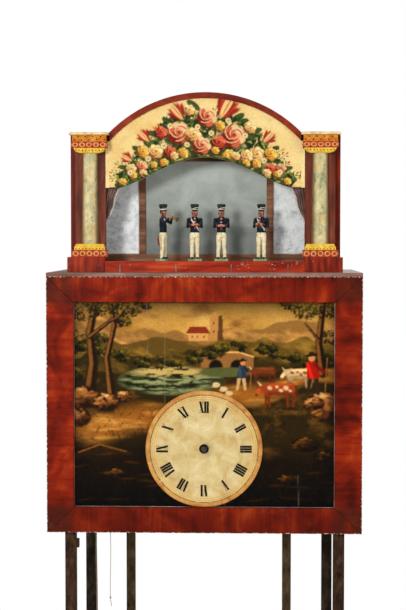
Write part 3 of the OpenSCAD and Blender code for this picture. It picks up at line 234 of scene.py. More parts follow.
def wood(name, shades, along, chips=0.0, gloss=0.35, coat=0.03):
    """Wood with its grain along one axis. Shades go from dark to light."""
    f, shades = Finish(name), tones(shades)
    stretch = GRAIN[along]
    figure = f.noise(34, [max(s, 0.22) for s in stretch], 3, warp=1.2)
    streak = f.noise(7, stretch, 6, 0.6, 0.3)
    fine = f.noise(1.6, [s * 0.6 if s < 1 else 1 for s in stretch], 4)
    colour = f.ramp(figure * 0.55 + streak * 0.45, (0.3, 0.45, 0.56, 0.7), shades)
    colour = f.stain(colour, fine, 0.56, 0.74, shades[0])
    colour = f.stain(colour, f.noise(90, detail=4), 0.52, 0.72, shades[0], 0.45)
    rough = gloss + fine * 0.22
    if chips:
        spots = f.noise(4.5, detail=8, rough=0.75) + f.noise(45, detail=2) * 0.45
        mask = f.between(spots, 0.985 - chips, 1.0 - chips)
        colour = f.mix(mask, colour, srgb(196, 176, 150))
        rough = f.math("ADD", rough, mask * 0.3, clamp=True)
    return f.done(colour, rough, height=fine, depth=0.072, coat=coat)


def paint(name, shades, size=30, worn=None, wear=0.0, rough=0.5, grime=0.35):
    """Aged paint: blotches of its shades, fine grime and spots worn to another tone."""
    f, shades = Finish(name), tones(shades)
    blotch = f.noise(size, detail=6, rough=0.6, warp=0.5)
    last = len(shades) - 1
    colour = f.ramp(blotch, [0.3 + 0.4 * i / last for i in range(len(shades))], shades)
    dirt = f.noise(5, detail=8, rough=0.7)
    colour = f.stain(colour, dirt, 0.5, 0.72, shade(shades[0], 0.35), grime)
    if worn:
        spots = f.noise(6, detail=9, rough=0.75)
        colour = f.stain(colour, spots, 0.66 - wear, 0.69 - wear, *tones(worn))
    return f.done(colour, rough + dirt * 0.25, height=dirt, depth=0.08)


def metal(name, shades, metallic=1.0, size=18):
    """Old metal with tarnish blotches and fine scratches."""
    f, shades = Finish(name), tones(shades)
    tarnish = f.noise(size, detail=7, rough=0.65)
    scratch = f.noise(1.5, (1, 1, 0.2), 3)
    colour = f.ramp(tarnish, (0.32, 0.52, 0.7), shades)
    return f.done(colour, 0.35 + tarnish * 0.25 + scratch * 0.1, metallic, scratch, 0.03,
                  shine=0.5)


def iron(name, shades):
    """Wrought bar: dark scale with rust and worn paint."""
    f, shades = Finish(name), tones(shades)
    scale = f.noise(16, (1, 1, 0.5), 9, 0.7)
    pit = f.noise(2.2, detail=6, rough=0.7)
    colour = f.stain(f.ramp(scale, (0.34, 0.5, 0.66), shades), pit, 0.58, 0.72, shades[0])
    return f.done(colour, 0.5 + scale * 0.3, 0.05, pit, 0.35, shine=0.02)


MAHOGANY = "60 14 6, 100 23 8, 130 34 11, 160 56 20"
PILASTER = "50 22 14, 92 40 26, 122 58 38, 150 86 66"
RED_RAIL = "84 18 10, 146 36 14, 182 54 24, 210 92 48"
SOFTWOOD = "120 82 46, 170 128 80, 196 156 104, 216 184 134"
BROWN_WOOD = "66 40 28, 112 74 55, 142 98 74, 172 128 100"
DUSTY_BOARD = "86 54 44, 126 92 78, 150 114 100, 176 146 132"
mahogany_z = wood("mahogany_z", MAHOGANY, "Z", chips=0.02)
mahogany_y = wood("mahogany_y", MAHOGANY, "Y", chips=0.02)
rail_red = wood("rail_red", RED_RAIL, "X", chips=0.09)
pine_x = wood("pine_x", SOFTWOOD, "X", gloss=0.6, coat=0)
pine_z = wood("pine_z", SOFTWOOD, "Z", gloss=0.6, coat=0)
brown_x = wood("brown_x", BROWN_WOOD, "X", gloss=0.5, coat=0)
brass = metal("brass", "96 66 30, 178 136 68, 214 178 104")
steel = metal("steel", "70 66 62, 140 138 134, 182 180 176")
iron_brown = iron("iron_brown", "30 19 13, 60 41 29, 90 64 46")
iron_black = iron("iron_black", "16 13 10, 36 29 22, 60 48 36")
iron_olive = iron("iron_olive", "36 28 19, 74 60 40, 102 86 60")
roof_paint = paint("roof_paint", "92 28 18, 128 42 22, 156 60 32", 40,
                   "52 26 22", 0.06, rough=0.4)


def frame_finish(name, along):
    """Mahogany veneer, dark at the mitres, with chips along the outer edges, and painted shade
    darkening it towards its foot.
    """
    f = Finish(name)
    stretch = GRAIN[along]
    brushed = f.noise(11, stretch, 6, 0.62, 0.4)
    cloudy = f.noise(70, detail=4, warp=0.8)
    fine = f.noise(1.7, stretch, 4)
    colour = f.ramp(brushed * 0.3 + cloudy * 0.7, (0.36, 0.44, 0.52, 0.59, 0.67),
                    tones("66 12 4, 100 21 6, 126 29 8, 150 42 12, 172 64 22"))
    # Painted shade: the veneer grows darker towards the foot of the frame
    height = f.between(f.axis("Z"), frame_low.z * MM, (frame_low.z + 110) * MM)
    colour = f.mix((1 - height) * 0.52, colour, srgb(66, 13, 4))
    colour = f.stain(colour, fine, 0.55, 0.75, srgb(70, 16, 8), 0.55)
    middle = (frame_low.z + frame_high.z) / 2 * MM
    to_x = frame_high.x * MM - abs(f.axis("X"))
    to_z = (frame_high.z - frame_low.z) / 2 * MM - abs(f.axis("Z") - middle)
    corner = 1 - f.between(f.math("MAXIMUM", to_x, to_z), 0.036, 0.064)
    smoke = f.between(f.noise(20, stretch, 6), 0.22, 0.5)
    colour = f.mix(corner * smoke * 0.75, colour, srgb(60, 24, 13))
    scratch = f.between(f.noise(3, (0.3, 1, 3), 6, 0.7), 0.64, 0.7)
    colour = f.mix(corner * scratch * 0.6, colour, srgb(150, 110, 84))
    colour = f.stain(colour, f.noise(24, rough=0.6), 0.62, 0.72, srgb(92, 52, 42), 0.4)
    front = 1 - f.between(f.axis("Y"), FRONT_Y * MM, (FRONT_Y + 3) * MM)
    edge = (1 - f.between(f.math("MINIMUM", to_x, to_z), 0.0004, 0.0032)) * front
    colour = f.mix(edge * 0.5, colour, srgb(60, 26, 18))
    colour = f.stain(colour, f.noise(5, detail=8, rough=0.75) + edge * 0.2, 0.7, 0.72,
                     srgb(214, 196, 178))
    return f.done(colour, 0.34 + fine * 0.2, height=fine, depth=0.06, coat=0.03, shine=0.04)


# Meshes

def hang(name, data, body, stands_for=None):
    """Object for a mesh or curve that rides on a body and may stand for a node."""
    piece = bpy.data.objects.new(name, data)
    bpy.context.scene.collection.objects.link(piece)
    if body:
        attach(piece, body)
    if stands_for:
        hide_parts(stands_for)
    return piece


class Shape:
    """Points and faces in millimetres, gathered from simple solids."""

    def __init__(self):
        self.points, self.faces, self.marks = [], [], []

    def solid(self, points, faces, mark=0):
        first = len(self.points)
        self.points += [tuple(p) for p in points]
        self.faces += [[first + i for i in face] for face in faces]
        self.marks += [mark] * len(faces)
        return self

    def rings(self, rings, mark=0):
        """Skin over rings of equally many points, closed at both ends."""
        n, last = len(rings[0]), len(rings) - 1
        faces = []
        for a in range(0, last * n, n):
            faces += [[a + i, a + (i + 1) % n, a + n + (i + 1) % n, a + n + i] for i in range(n)]
        faces += [list(range(n))[::-1], [last * n + i for i in range(n)]]
        return self.solid([p for ring in rings for p in ring], faces, mark)

    def prism(self, outline, y0, y1, mark=0):
        """Front view outline in x and z, made into a board from y0 to y1."""
        return self.rings([[(x, y, z) for x, z in outline] for y in (y0, y1)], mark)

    def box(self, low, high, mark=0):
        (x0, y0, z0), (x1, y1, z1) = low, high
        return self.prism([(x0, z0), (x1, z0), (x1, z1), (x0, z1)], y0, y1, mark)

    def tube(self, path, radii, sides=12, mark=0):
        """Round bar along a path."""
        path = [Vector(p) for p in path]
        if isinstance(radii, (int, float)):
            radii = [radii] * len(path)
        rings = []
        side = None
        for i, p in enumerate(path):
            along = (path[min(i + 1, len(path) - 1)] - path[max(i - 1, 0)]).normalized()
            if side is None:
                side = along.cross(Vector((0, 1, 0.01))).normalized()
            side = (side - along * side.dot(along)).normalized()
            other = along.cross(side)
            rings.append([p + radii[i] * (side * math.cos(a) + other * math.sin(a))
                          for a in circle(sides)])
        return self.rings(rings, mark)

    def stack(self, sections, sides=20, mark=0):
        """Skin over level ellipses, each (x, y, z, x radius, y radius)."""
        return self.rings([[(x + rx * math.cos(a), y + ry * math.sin(a), z)
                            for a in circle(sides)] for x, y, z, rx, ry in sections], mark)

    def lathe(self, profile, centre, axis="Z", sides=32, mark=0):
        """Turned solid: a profile of (radius, height) along an axis."""
        rings = []
        for r, h in profile:
            ring = []
            for a in circle(sides):
                u, v = r * math.cos(a), r * math.sin(a)
                p = {"Z": (u, v, h), "X": (h, u, v)}[axis]
                ring.append(tuple(c + d for c, d in zip(centre, p)))
            rings.append(ring)
        return self.rings(rings, mark)

    def ball(self, centre, radii, mark=0, sides=16, rows=8):
        if isinstance(radii, (int, float)):
            radii = (radii,) * 3
        x, y, z = centre
        sections = []
        for j in range(rows + 1):
            a = math.pi * (j + 0.08) / (rows + 0.16) - math.pi / 2
            c = math.cos(a)
            sections.append((x, y, z + radii[2] * math.sin(a), radii[0] * c, radii[1] * c))
        return self.stack(sections, sides, mark)

    def turned(self, matrix):
        self.points = [tuple(matrix @ Vector(p)) for p in self.points]
        return self

    def piece(self, name, body, finishes, slot, stands_for=None, bevel=0.0, smooth=35):
        """Make the mesh, hang it on its body and give it its materials."""
        mesh = bpy.data.meshes.new(name)
        mesh.from_pydata([Vector(p) * MM for p in self.points], [], self.faces)
        mesh.polygons.foreach_set("material_index", self.marks)
        for finish in finishes if isinstance(finishes, list) else [finishes]:
            mesh.materials.append(finish)
        mesh.validate()
        # Make every closed shell face outward
        work = bmesh.new()
        work.from_mesh(mesh)
        bmesh.ops.recalc_face_normals(work, faces=work.faces)
        work.to_mesh(mesh)
        work.free()
        piece = hang(name, mesh, body, stands_for)
        if bevel:
            edge = piece.modifiers.new("edge", "BEVEL")
            edge.width = bevel * MM
            edge.segments = 2
            edge.limit_method = "ANGLE"
            edge.angle_limit = math.radians(40)
        if smooth:
            mesh.shade_smooth()
            mesh.set_sharp_from_angle(angle=math.radians(smooth))
        return piece


def dress(finish, *nodes):
    """Give carried-over solids their finish."""
    for node in nodes:
        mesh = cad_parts[node].data
        mesh.materials.clear()
        mesh.materials.append(finish)


# Cords: their routes, lengths and ends

STRING_TOP = Vector((-182, -100, 750))
STRING_ROUTE = [
    (0, 0, 40), (0, 0, 30), (0, 0, 20), (0.1, 0, 10), (0.3, 0, 0), (0.6, 0.1, -12),
    (0.9, 0.2, -24), (1.1, 0.3, -36), (1.2, 0.3, -48), (1.1, 0.2, -60), (0.9, 0.1, -72),
    (0.6, 0, -84), (0.3, 0, -96), (0.1, 0.1, -108), (0, 0.2, -118), (0, 0.3, -128),
    (0.1, 0.3, -136), (0.6, 0.2, -142), (1.4, 0, -147), (2.0, -0.2, -151), (2.3, -0.3, -154),
]
LINE_TOP = Vector((-225, 31.8, 1018))
LINE_STEP = 12
LINE_SWAY = [0] * 18 + [0.1, 0.2, 0.3, 0.4] + [0.6 + 0.2 * k for k in range(13)] + [
    3.1, 3.2, 3.3, 3.3, 3.4, 3.4]
LINE_ROUTE = [(sway, 0, -LINE_STEP * k) for k, sway in enumerate(LINE_SWAY)]


def twisted(name, shades, lay):
    """Fibre with its strands winding round, one turn in lay millimetres."""
    f, shades = Finish(name), tones(shades)
    wind = f.noise(lay, (1.5, 1.5, 1), 3, turn=(0.6, 0.6, 0))
    fuzz = f.noise(0.8, detail=4)
    colour = f.mix(fuzz, f.ramp(wind, (0.35, 0.65), shades), shades[1])
    return f.done(colour, 0.9, height=wind, depth=0.3, sheen=0.2)


def hanging_cord(name, top, route, diameter, finish, body, node):
    """Curve along a route, as one open spline."""
    points = [(top + Vector(p)) * MM for p in route]
    curve = bpy.data.curves.new(name, "CURVE")
    curve.dimensions = "3D"
    curve.bevel_depth = diameter / 2
    curve.bevel_resolution = 3
    curve.use_fill_caps = True
    line = curve.splines.new("POLY")
    line.points.add(len(points) - 1)
    for spot, p in zip(line.points, points):
        spot.co = (*p, 1)
    curve.materials.append(finish)
    length = sum((b - a).length for a, b in zip(points, points[1:]))
    return hang(name, curve, body, node), points, length


grey_cotton = twisted("grey_cotton", "92 88 80, 168 162 150", 2.0)
hemp = twisted("hemp", "58 48 38, 128 110 88", 4.0)
string, string_points, string_length = hanging_cord(
    "pull_string", STRING_TOP, STRING_ROUTE, 0.0012, grey_cotton, "trip",
    "strike_string")
line, line_points, line_length = hanging_cord(
    "organ_line", LINE_TOP, LINE_ROUTE, 0.003, hemp, "case", "weight_cord")

KNOT = Vector((-181.9, -99.7, 612))
knot_path = [KNOT + Vector((1.3 * math.cos(a), 1.3 * math.sin(a), 1.1 * math.sin(a * 1.5)))
             for a in (TAU * step / 14 for step in range(28))]
knot_piece = Shape().tube(knot_path, 0.65, sides=8).piece("string_knot", "trip", grey_cotton,
                                                          "string")


# Painting on a grid of points

def cloud(x, z, size, seed, octaves=4):
    """Smooth noise from 0 to 1 over arrays of places."""
    total, weight = 0.0, 0.0
    for k in range(octaves):
        lattice = np.random.RandomState(seed + k).rand(64, 64)
        u, v = x / size * 2 ** k, z / size * 2 ** k
        i, j = np.floor(u).astype(int), np.floor(v).astype(int)
        s, t = u - i, v - j
        s, t = s * s * (3 - 2 * s), t * t * (3 - 2 * t)
        low, high = (lattice[row % 64, i % 64] * (1 - s) + lattice[row % 64, (i + 1) % 64] * s
                     for row in (j, j + 1))
        total = total + (low * (1 - t) + high * t) * 0.55 ** k
        weight += 0.55 ** k
    return total / weight


class Canvas:
    """Grid of points on an upright field, painted with dabs of a brush.

    Heights are given above its base."""

    def __init__(self, half, base, z0, z1, step, seed):
        self.base, self.step = base, step
        self.x = np.arange(-half, half + step, step)
        self.z = np.arange(base + z0, base + z1 + step, step)
        self.X, self.Z = np.meshgrid(self.x, self.z)
        self.rgb = np.zeros(self.X.shape + (3,))
        self.chance = random.Random(seed)
        self.any = self.chance.uniform
        self.choice = self.chance.choice

    def lay(self, cover, colour):
        cover = np.clip(cover, 0, 1)[..., None]
        self.rgb += (np.asarray(colour) - self.rgb) * cover

    def dab(self, x, z, long, wide, angle, colour, strength=0.9, edge=3.0):
        z += self.base
        reach = max(long, wide)
        i0 = max(int((x - reach - self.x[0]) / self.step), 0)
        i1 = min(int((x + reach - self.x[0]) / self.step) + 2, len(self.x))
        j0 = max(int((z - reach - self.z[0]) / self.step), 0)
        j1 = min(int((z + reach - self.z[0]) / self.step) + 2, len(self.z))
        if i0 >= i1 or j0 >= j1:
            return
        dx, dz = self.X[j0:j1, i0:i1] - x, self.Z[j0:j1, i0:i1] - z
        c, s = math.cos(angle), math.sin(angle)
        r = np.sqrt(((dx * c + dz * s) / long) ** 2 + ((dz * c - dx * s) / wide) ** 2)
        cover = (strength * np.clip((1 - r) * edge, 0, 1))[..., None]
        spot = self.rgb[j0:j1, i0:i1]
        spot += (np.asarray(colour) - spot) * cover

    def stroke(self, points, widths, colour, strength=0.9, edge=3.0):
        """Brush line through points, with its width at each."""
        for (x0, z0), (x1, z1), w0, w1 in zip(points, points[1:], widths, widths[1:]):
            gap = math.hypot(x1 - x0, z1 - z0)
            count = max(int(gap / max(min(w0, w1) * 0.6, self.step)), 1)
            for k in range(count + 1):
                t = k / count
                w = w0 + (w1 - w0) * t
                self.dab(x0 + (x1 - x0) * t, z0 + (z1 - z0) * t, max(w, self.step), w,
                         math.atan2(z1 - z0, x1 - x0), colour, strength, edge)

    def patch(self, points, colour):
        """Fill a flat shape."""
        inside = np.zeros(self.X.shape, bool)
        points = [(x, z + self.base) for x, z in points]
        for (x0, z0), (x1, z1) in zip(points, points[1:] + points[:1]):
            if z0 == z1:
                continue
            crosses = (self.Z >= min(z0, z1)) & (self.Z < max(z0, z1))
            inside ^= crosses & (self.X < x0 + (self.Z - z0) * (x1 - x0) / (z1 - z0))
        self.lay(inside * 1.0, colour)

    def vary(self, colour, amount=0.15):
        """The same colour, a little lighter or darker."""
        light = 1 + self.any(-amount, amount)
        return tuple(min(c * light * (1 + self.any(-amount, amount) * 0.4), 1) for c in colour)

    def at(self, x, z):
        """Colours at arrays of places, mixed from the four nearest points."""
        u = np.clip((x - self.x[0]) / self.step, 0, len(self.x) - 1.001)
        v = np.clip((z - self.z[0]) / self.step, 0, len(self.z) - 1.001)
        i, j = u.astype(int), v.astype(int)
        s, t = (u - i)[..., None], (v - j)[..., None]
        rgb = self.rgb
        return ((rgb[j, i] * (1 - s) + rgb[j, i + 1] * s) * (1 - t)
                + (rgb[j + 1, i] * (1 - s) + rgb[j + 1, i + 1] * s) * t)


def painted_sheet(name, x, z, y, canvas, finish, keep=None):
    """Thin painted layer over a grid of places, facing the front."""
    points = np.stack([x, np.full(x.shape, float(y)), z], -1).reshape(-1, 3) * MM
    index = np.arange(x.size).reshape(x.shape)
    quads = np.stack([index[:-1, :-1], index[:-1, 1:], index[1:, 1:], index[1:, :-1]], -1)
    quads = quads.reshape(-1, 4)
    if keep is not None:
        middle = points[quads].mean(1) / MM
        quads = quads[keep(middle[:, 0], middle[:, 2])]
    mesh = bpy.data.meshes.new(name)
    mesh.from_pydata(points.tolist(), [], quads.tolist())
    colours = canvas.at(x.reshape(-1), z.reshape(-1))
    layer = mesh.color_attributes.new("paint", "FLOAT_COLOR", "POINT")
    layer.data.foreach_set("color", np.c_[colours, np.ones(len(colours))].reshape(-1))
    mesh.materials.append(finish)
    mesh.shade_smooth()
    return hang(name, mesh, "case")


def oil_paint(name, gloss=0.35):
    """Old oil paint over the canvas colours, with brush ridges and grime."""
    f = Finish(name)
    brush = f.noise(2.2, (0.6, 1, 1.4), 5, 0.6)
    grime = f.noise(38, detail=7, rough=0.65)
    picture = f.add("VertexColor", "Color", {}, layer_name="paint")
    colour = f.stain(picture, grime, 0.5, 0.75, srgb(40, 26, 14), 0.25)
    ridges = f.ramp(brush, (0.3, 0.7), ((0.12, 0.12, 0.12), (1, 1, 1)))
    colour = f.mix(0.25, colour, ridges, "OVERLAY")
    return f.done(colour, gloss + brush * 0.2, height=brush, depth=0.06, shine=0.05)


def brushes(c, x, z, size, way=1):
    """Brushes for a figure's lines and spots, in shares of its size."""
    def line(places, widths, *tone):
        c.stroke([(x + way * size * u, z + size * v) for u, v in places],
                 [size * w for w in widths], *tone)

    def spot(u, v, long, wide, angle, tone, strength=0.95, edge=4.0):
        c.dab(x + way * size * u, z + size * v, size * long, size * wide, way * angle, tone,
              strength, edge)

    return line, spot


# The painted panel: a made-up landscape

FOLIAGE = tones("18 20 9, 40 42 16, 78 74 26, 134 120 46")
ROCK = tones("44 28 15, 112 72 38, 178 126 70, 228 186 126")
EARTH = tones("18 13 7, 46 31 13, 92 62 24, 150 106 44")
VARNISH = (0.92, 0.76, 0.6)


def lit_tone(shades, light):
    """One of four tones, by light from 0 to 1."""
    return shades[min(max(int(light * 4), 0), 3)]


def foliage(c, x, z, size):
    """Clump of leaves, dark below and lit on its upper left."""
    for k in range(int(size * 5)):
        a = c.any(0, TAU)
        r = math.sqrt(c.chance.random())
        light = 0.42 + 0.42 * r * math.sin(a + 0.6) + c.any(-0.26, 0.26)
        c.dab(x + size * r * math.cos(a), z + size * 0.66 * r * math.sin(a), c.any(2, 4.4),
              c.any(1.2, 2.3), c.any(0, 3.1), c.vary(lit_tone(FOLIAGE, light)), 0.8)


def trunk(c, points, widths):
    """Tree trunk with a lit left side and knots."""
    c.stroke(points, widths, srgb(40, 26, 13))
    left = [(x - 0.32 * w, z) for (x, z), w in zip(points, widths)]
    c.stroke(left, [w * 0.4 for w in widths], srgb(140, 98, 50), 0.75)
    for (x0, z0), (x1, z1) in zip(points, points[1:]):
        for k in range(4):
            t = c.chance.random()
            c.dab(x0 + (x1 - x0) * t, z0 + (z1 - z0) * t, 2.6, 1, 0.3, srgb(24, 15, 8), 0.6)


def rock(c, x, z, wide, high, shades=ROCK):
    """Boulder: a dark body with lit planes on its upper left."""
    c.dab(x, z, wide, high, 0, c.vary(shades[0]), 1.0, 5)
    for k in range(int(wide * 2.2)):
        a = c.any(0, TAU)
        r = math.sqrt(c.chance.random()) * 0.78
        light = 0.46 + 0.44 * (r * math.sin(a) - 0.55 * r * math.cos(a)) + c.any(-0.16, 0.16)
        c.dab(x + wide * r * math.cos(a), z + high * r * math.sin(a), c.any(0.14, 0.28) * wide,
              c.any(0.08, 0.2) * high, c.any(-0.7, 0.5), c.vary(lit_tone(shades, light), 0.1), 0.7)


def cow(c, x, z, size, coat, patches=None):
    """Standing cow, with its head low on the left."""
    dark, light = shade(coat, 0.4), shade(coat, 1.6)
    line, spot = brushes(c, x, z, size, -1)
    for u, bend in ((-0.4, -0.04), (-0.26, 0.03), (0.26, 0.03), (0.38, -0.02)):
        line([(u, 0.02), (u + bend, -0.2), (u, -0.42)], [0.075, 0.045, 0.04], shade(coat, 0.6),
             0.95)
    spot(0, 0.06, 0.48, 0.2, 0, coat)
    spot(-0.3, 0.1, 0.2, 0.2, 0, coat)
    spot(0.3, 0.06, 0.2, 0.22, 0, coat)
    spot(0, -0.06, 0.42, 0.07, 0, dark, 0.6)
    spot(-0.05, 0.19, 0.4, 0.06, 0, light, 0.7)
    if patches:
        for u, v, long in ((-0.2, 0.1, 0.09), (-0.06, 0.03, 0.07), (0.06, 0.13, 0.06),
                           (0.26, 0.1, 0.08), (-0.32, 0.02, 0.05)):
            spot(u, v, long, long * 0.75, 0.4, patches, 0.85)
    spot(0.5, 0.1, 0.16, 0.1, -0.9, coat)
    spot(0.6, -0.01, 0.13, 0.07, -1.0, light)
    spot(0.64, -0.1, 0.05, 0.04, 0, dark)
    line([(0.52, 0.18), (0.6, 0.27)], [0.03, 0.015], srgb(226, 212, 176))
    line([(-0.47, 0.16), (-0.53, -0.1)], [0.03, 0.025], dark)


def person(c, x, z, size, coat, legs, lean):
    """Country figure with a hat and a stick."""
    line, spot = brushes(c, x, z, size)
    for foot in (-0.13, 0.12):
        line([(foot * 0.5, 0.42), (foot, 0)], [0.07, 0.045], legs, 0.95)
    c.patch([(x + size * u, z + size * v) for u, v in (
        (-0.15, 0.36), (0.16, 0.36), (0.11 + lean, 0.76), (lean - 0.11, 0.76))], coat)
    line([(lean - 0.1, 0.72), (-0.04, 0.4)], [0.045, 0.05], shade(coat, 1.9), 0.7)
    line([(0.08 + lean, 0.7), (0.24, 0.52), (0.3, 0.6)], [0.05, 0.045, 0.03], shade(coat, 0.6),
         0.95)
    line([(0.33, 0.86), (0.28, 0)], [1.3 / size] * 2, srgb(150, 112, 60))
    spot(lean, 0.85, 0.085, 0.09, 0, srgb(212, 150, 104), 1)
    spot(lean, 0.925, 0.17, 0.035, 0.1, srgb(38, 26, 18), 1)
    spot(lean, 0.96, 0.08, 0.06, 0, srgb(52, 36, 24), 1)


def far_country(c, h):
    """Glowing sky, clouds, mountains and wooded hills."""
    x = c.X
    c.rgb[:] = np.asarray(srgb(184, 148, 76))
    c.lay((cloud(x, c.Z, 80, 1) - 0.45) * 2.6, srgb(216, 184, 112))
    c.lay((cloud(x, c.Z * 2, 60, 7) - 0.5) * 3.4, srgb(140, 98, 54))
    c.lay((h - 346) / 50, srgb(88, 74, 38))
    for base, lift, size, seed, (tone, light) in (
            (344, 66, 105, 21, tones("150 118 66, 206 164 100")),
            (316, 46, 76, 33, tones("104 86 38, 156 128 58")),
            (288, 40, 52, 45, tones("62 54 22, 112 92 38"))):
        ridge = base + lift * (cloud(x, 0 * x, size, seed, 3) - 0.45)
        c.lay((ridge - h) / 2.5, tone)
        relief = cloud(x + h, c.Z * 1.6, 26, seed + 5)
        c.lay(np.clip((ridge - h) / 3, 0, 1) * (relief - 0.46) * 3, light)


def near_country(c, h):
    """Banks, pale water, the road and the dark near ground."""
    x = c.X
    bank = 262 + 30 * (cloud(x, 0 * x, 90, 71, 3) - 0.5)
    c.lay((bank - h) / 4, srgb(52, 42, 17))
    c.lay(np.clip((bank - h) / 5, 0, 1) * (cloud(x, c.Z * 2.4, 34, 81) - 0.5) * 3,
          srgb(116, 88, 36))
    water = np.clip(1.15 - ((x + 62) / 96) ** 2 - ((h - 238) / 27) ** 2, 0, 1) * 5
    c.lay(water, srgb(54, 66, 42))
    c.lay(water * (cloud(x / 3, c.Z * 2.4, 10, 61) - 0.4) * 1.5, srgb(150, 162, 122))
    c.lay(water * np.clip((h - 244) / 16, 0, 1) * 0.5, srgb(196, 180, 118))
    c.lay(water * np.clip((cloud(x / 2, c.Z * 3, 12, 63) - 0.56) * 3, 0, 1), srgb(34, 42, 26))
    road = 204 - 52 * np.tanh((60 - x) / 150) + 8 * np.sin(x / 26)
    band = np.clip(1.25 - np.abs(h - road) / (24 - 0.04 * x), 0, 1)
    c.lay(band * (0.6 + 0.8 * cloud(x / 3, c.Z * 1.5, 18, 95)), srgb(158, 108, 44))
    c.lay(band * (cloud(x / 3, c.Z * 2, 16, 97) - 0.5) * 3, srgb(208, 164, 90))
    dark = 132 + 46 * (cloud(x, 0 * x, 60, 91, 3) - 0.5)
    c.lay((dark - h) / 40, srgb(30, 21, 10))
    c.lay(np.clip((88 - h) / 70, 0, 1) * 0.9, srgb(12, 10, 6))


def buildings(c):
    """Round tower and low houses on the hill."""
    c.patch([(10, 312), (36, 312), (34, 362), (28, 358), (20, 366), (12, 360)], srgb(186, 146, 88))
    c.patch([(25, 312), (36, 312), (34, 362), (27, 358)], srgb(104, 74, 42))
    c.patch([(-30, 312), (9, 312), (9, 328), (-6, 338), (-30, 328)], srgb(206, 164, 104))
    c.patch([(-34, 327), (12, 327), (4, 339), (-26, 339)], srgb(140, 62, 34))
    for x, z, wide, high in ((-22, 320, 1.6, 2.6), (-12, 320, 1.6, 2.6), (0, 320, 1.6, 2.6),
                             (18, 346, 1.5, 3), (18, 330, 1.5, 3)):
        c.dab(x, z, wide, high, 0, srgb(50, 32, 18))


def bridge(c, h):
    """Stone bridge over the stream that feeds the lake."""
    c.patch([(-6, 262), (92, 262), (92, 282), (66, 290), (22, 290), (-6, 280)], srgb(150, 112, 66))
    c.stroke([(-6, 281), (22, 291), (66, 291), (92, 283)], [1.8] * 4, srgb(222, 184, 124))
    for x in (22, 62):
        c.dab(x, 264, 14, 15, 0, srgb(26, 20, 11), 1, 6)
    c.lay(np.clip(1.2 - ((c.X - 42) / 50) ** 2 - ((h - 254) / 9) ** 2, 0, 1) * 3, srgb(96, 104, 66))


def woods(c, half):
    """Far banks first, then the great trees at the left and the right."""
    for k in range(70):
        x = c.any(-half, half)
        foliage(c, x, 284 + 16 * math.sin(x / 50) + c.any(-6, 10), c.any(6, 11))
    for points, widths in (
            ([(-216, 206), (-208, 270), (-214, 330), (-200, 394)], [15, 11, 9, 7]),
            ([(-174, 214), (-182, 280), (-168, 340), (-176, 394)], [10, 7, 6, 5]),
            ([(-214, 320), (-176, 350), (-140, 366)], [6, 4, 2.4]),
            ([(222, 252), (214, 310), (224, 394)], [11, 8, 6]),
            ([(216, 312), (188, 346)], [4.4, 2])):
        trunk(c, points, widths)
    for x, z, size in ((-226, 372, 34), (-186, 378, 30), (-142, 372, 26), (-240, 318, 24),
                       (-112, 382, 17), (-192, 318, 14), (-238, 250, 16), (-150, 348, 15),
                       (228, 376, 32), (190, 368, 24), (160, 382, 18), (240, 320, 22),
                       (236, 282, 15), (128, 300, 12), (106, 296, 10)):
        foliage(c, x, z, size)
    for place in ((-224, 206, 34, 24), (-184, 196, 26, 19), (-150, 208, 18, 12),
                  (-236, 168, 26, 20), (232, 190, 42, 30), (206, 196, 22, 14)):
        rock(c, *place)


def herd(c):
    """Cows and sheep with their herdsmen, nearer ones last."""
    person(c, 70, 222, 58, *tones("48 66 86, 206 176 130"), 0.04)
    cow(c, 112, 252, 46, srgb(120, 66, 34))
    cow(c, 178, 248, 52, *tones("208 184 142, 126 62 30"))
    person(c, 204, 214, 78, *tones("168 34 18, 60 44 32"), -0.04)
    cow(c, 140, 218, 66, *tones("156 76 34, 226 206 168"))
    for x, z in ((36, 222), (46, 214), (22, 230)):
        c.dab(x, z, 9, 5.4, 0, srgb(214, 198, 156), 1, 4)
        c.dab(x - 8, z + 1, 3, 2.4, 0, srgb(84, 62, 42), 1, 4)


def near_ground(c, half):
    """Log, stones and grass, with a few warm lights."""
    c.stroke([(-240, 96), (-196, 112), (-140, 100)], [8, 6.5, 4.5], srgb(54, 36, 18))
    c.stroke([(-236, 102), (-196, 117), (-146, 104)], [1.8, 1.6, 1.1], srgb(146, 104, 54), 0.8)
    for place in ((190, 118, 30, 15), (226, 96, 22, 12), (-168, 62, 24, 11), (158, 52, 22, 10)):
        rock(c, *place, EARTH)
    for k in range(26):
        c.dab(c.any(-half, half), c.any(12, 120), c.any(16, 44), c.any(1.6, 3.6),
              c.any(-0.15, 0.2), c.vary(srgb(112, 74, 26), 0.25), 0.28, 1.5)
    for k in range(900):
        x, z = c.any(-half, half), 190 * c.chance.random() ** 1.2
        tone = EARTH[1] if c.chance.random() < 0.6 else FOLIAGE[c.choice((0, 1))]
        c.dab(x, z, c.any(3, 8), c.any(0.9, 1.8), c.any(0.5, 2.4), c.vary(tone, 0.3), 0.5)


def landscape():
    """Herd and herdsmen on a road past a lake, a bridge and a tower."""
    half = panel_high.x
    c = Canvas(half, SIGHT_Z0, -6, 394, 1.4, 11)
    h = c.Z - SIGHT_Z0
    far_country(c, h)
    buildings(c)
    near_country(c, h)
    bridge(c, h)
    woods(c, half)
    herd(c)
    near_ground(c, half)
    # The picture is darker towards its edges, and toned by old varnish
    side = np.clip((half - 2 - np.abs(c.X)) / 52, 0, 1)
    foot = np.clip(h / 60, 0, 1)
    head = np.clip((396 - h) / 34, 0, 1)
    c.rgb = 1.3 * c.rgb ** 1.2
    c.rgb *= (0.26 + 0.74 * np.sqrt(side * foot * head))[..., None] * np.asarray(VARNISH)
    for x, top, foot in ((-107, 385, 290), (-74, 385, 180), (38, 100, 2), (176, 60, 4)):
        c.stroke([(x, top), (x + 1, foot)], [0.7, 0.7], srgb(160, 150, 126), 0.2)
    return c


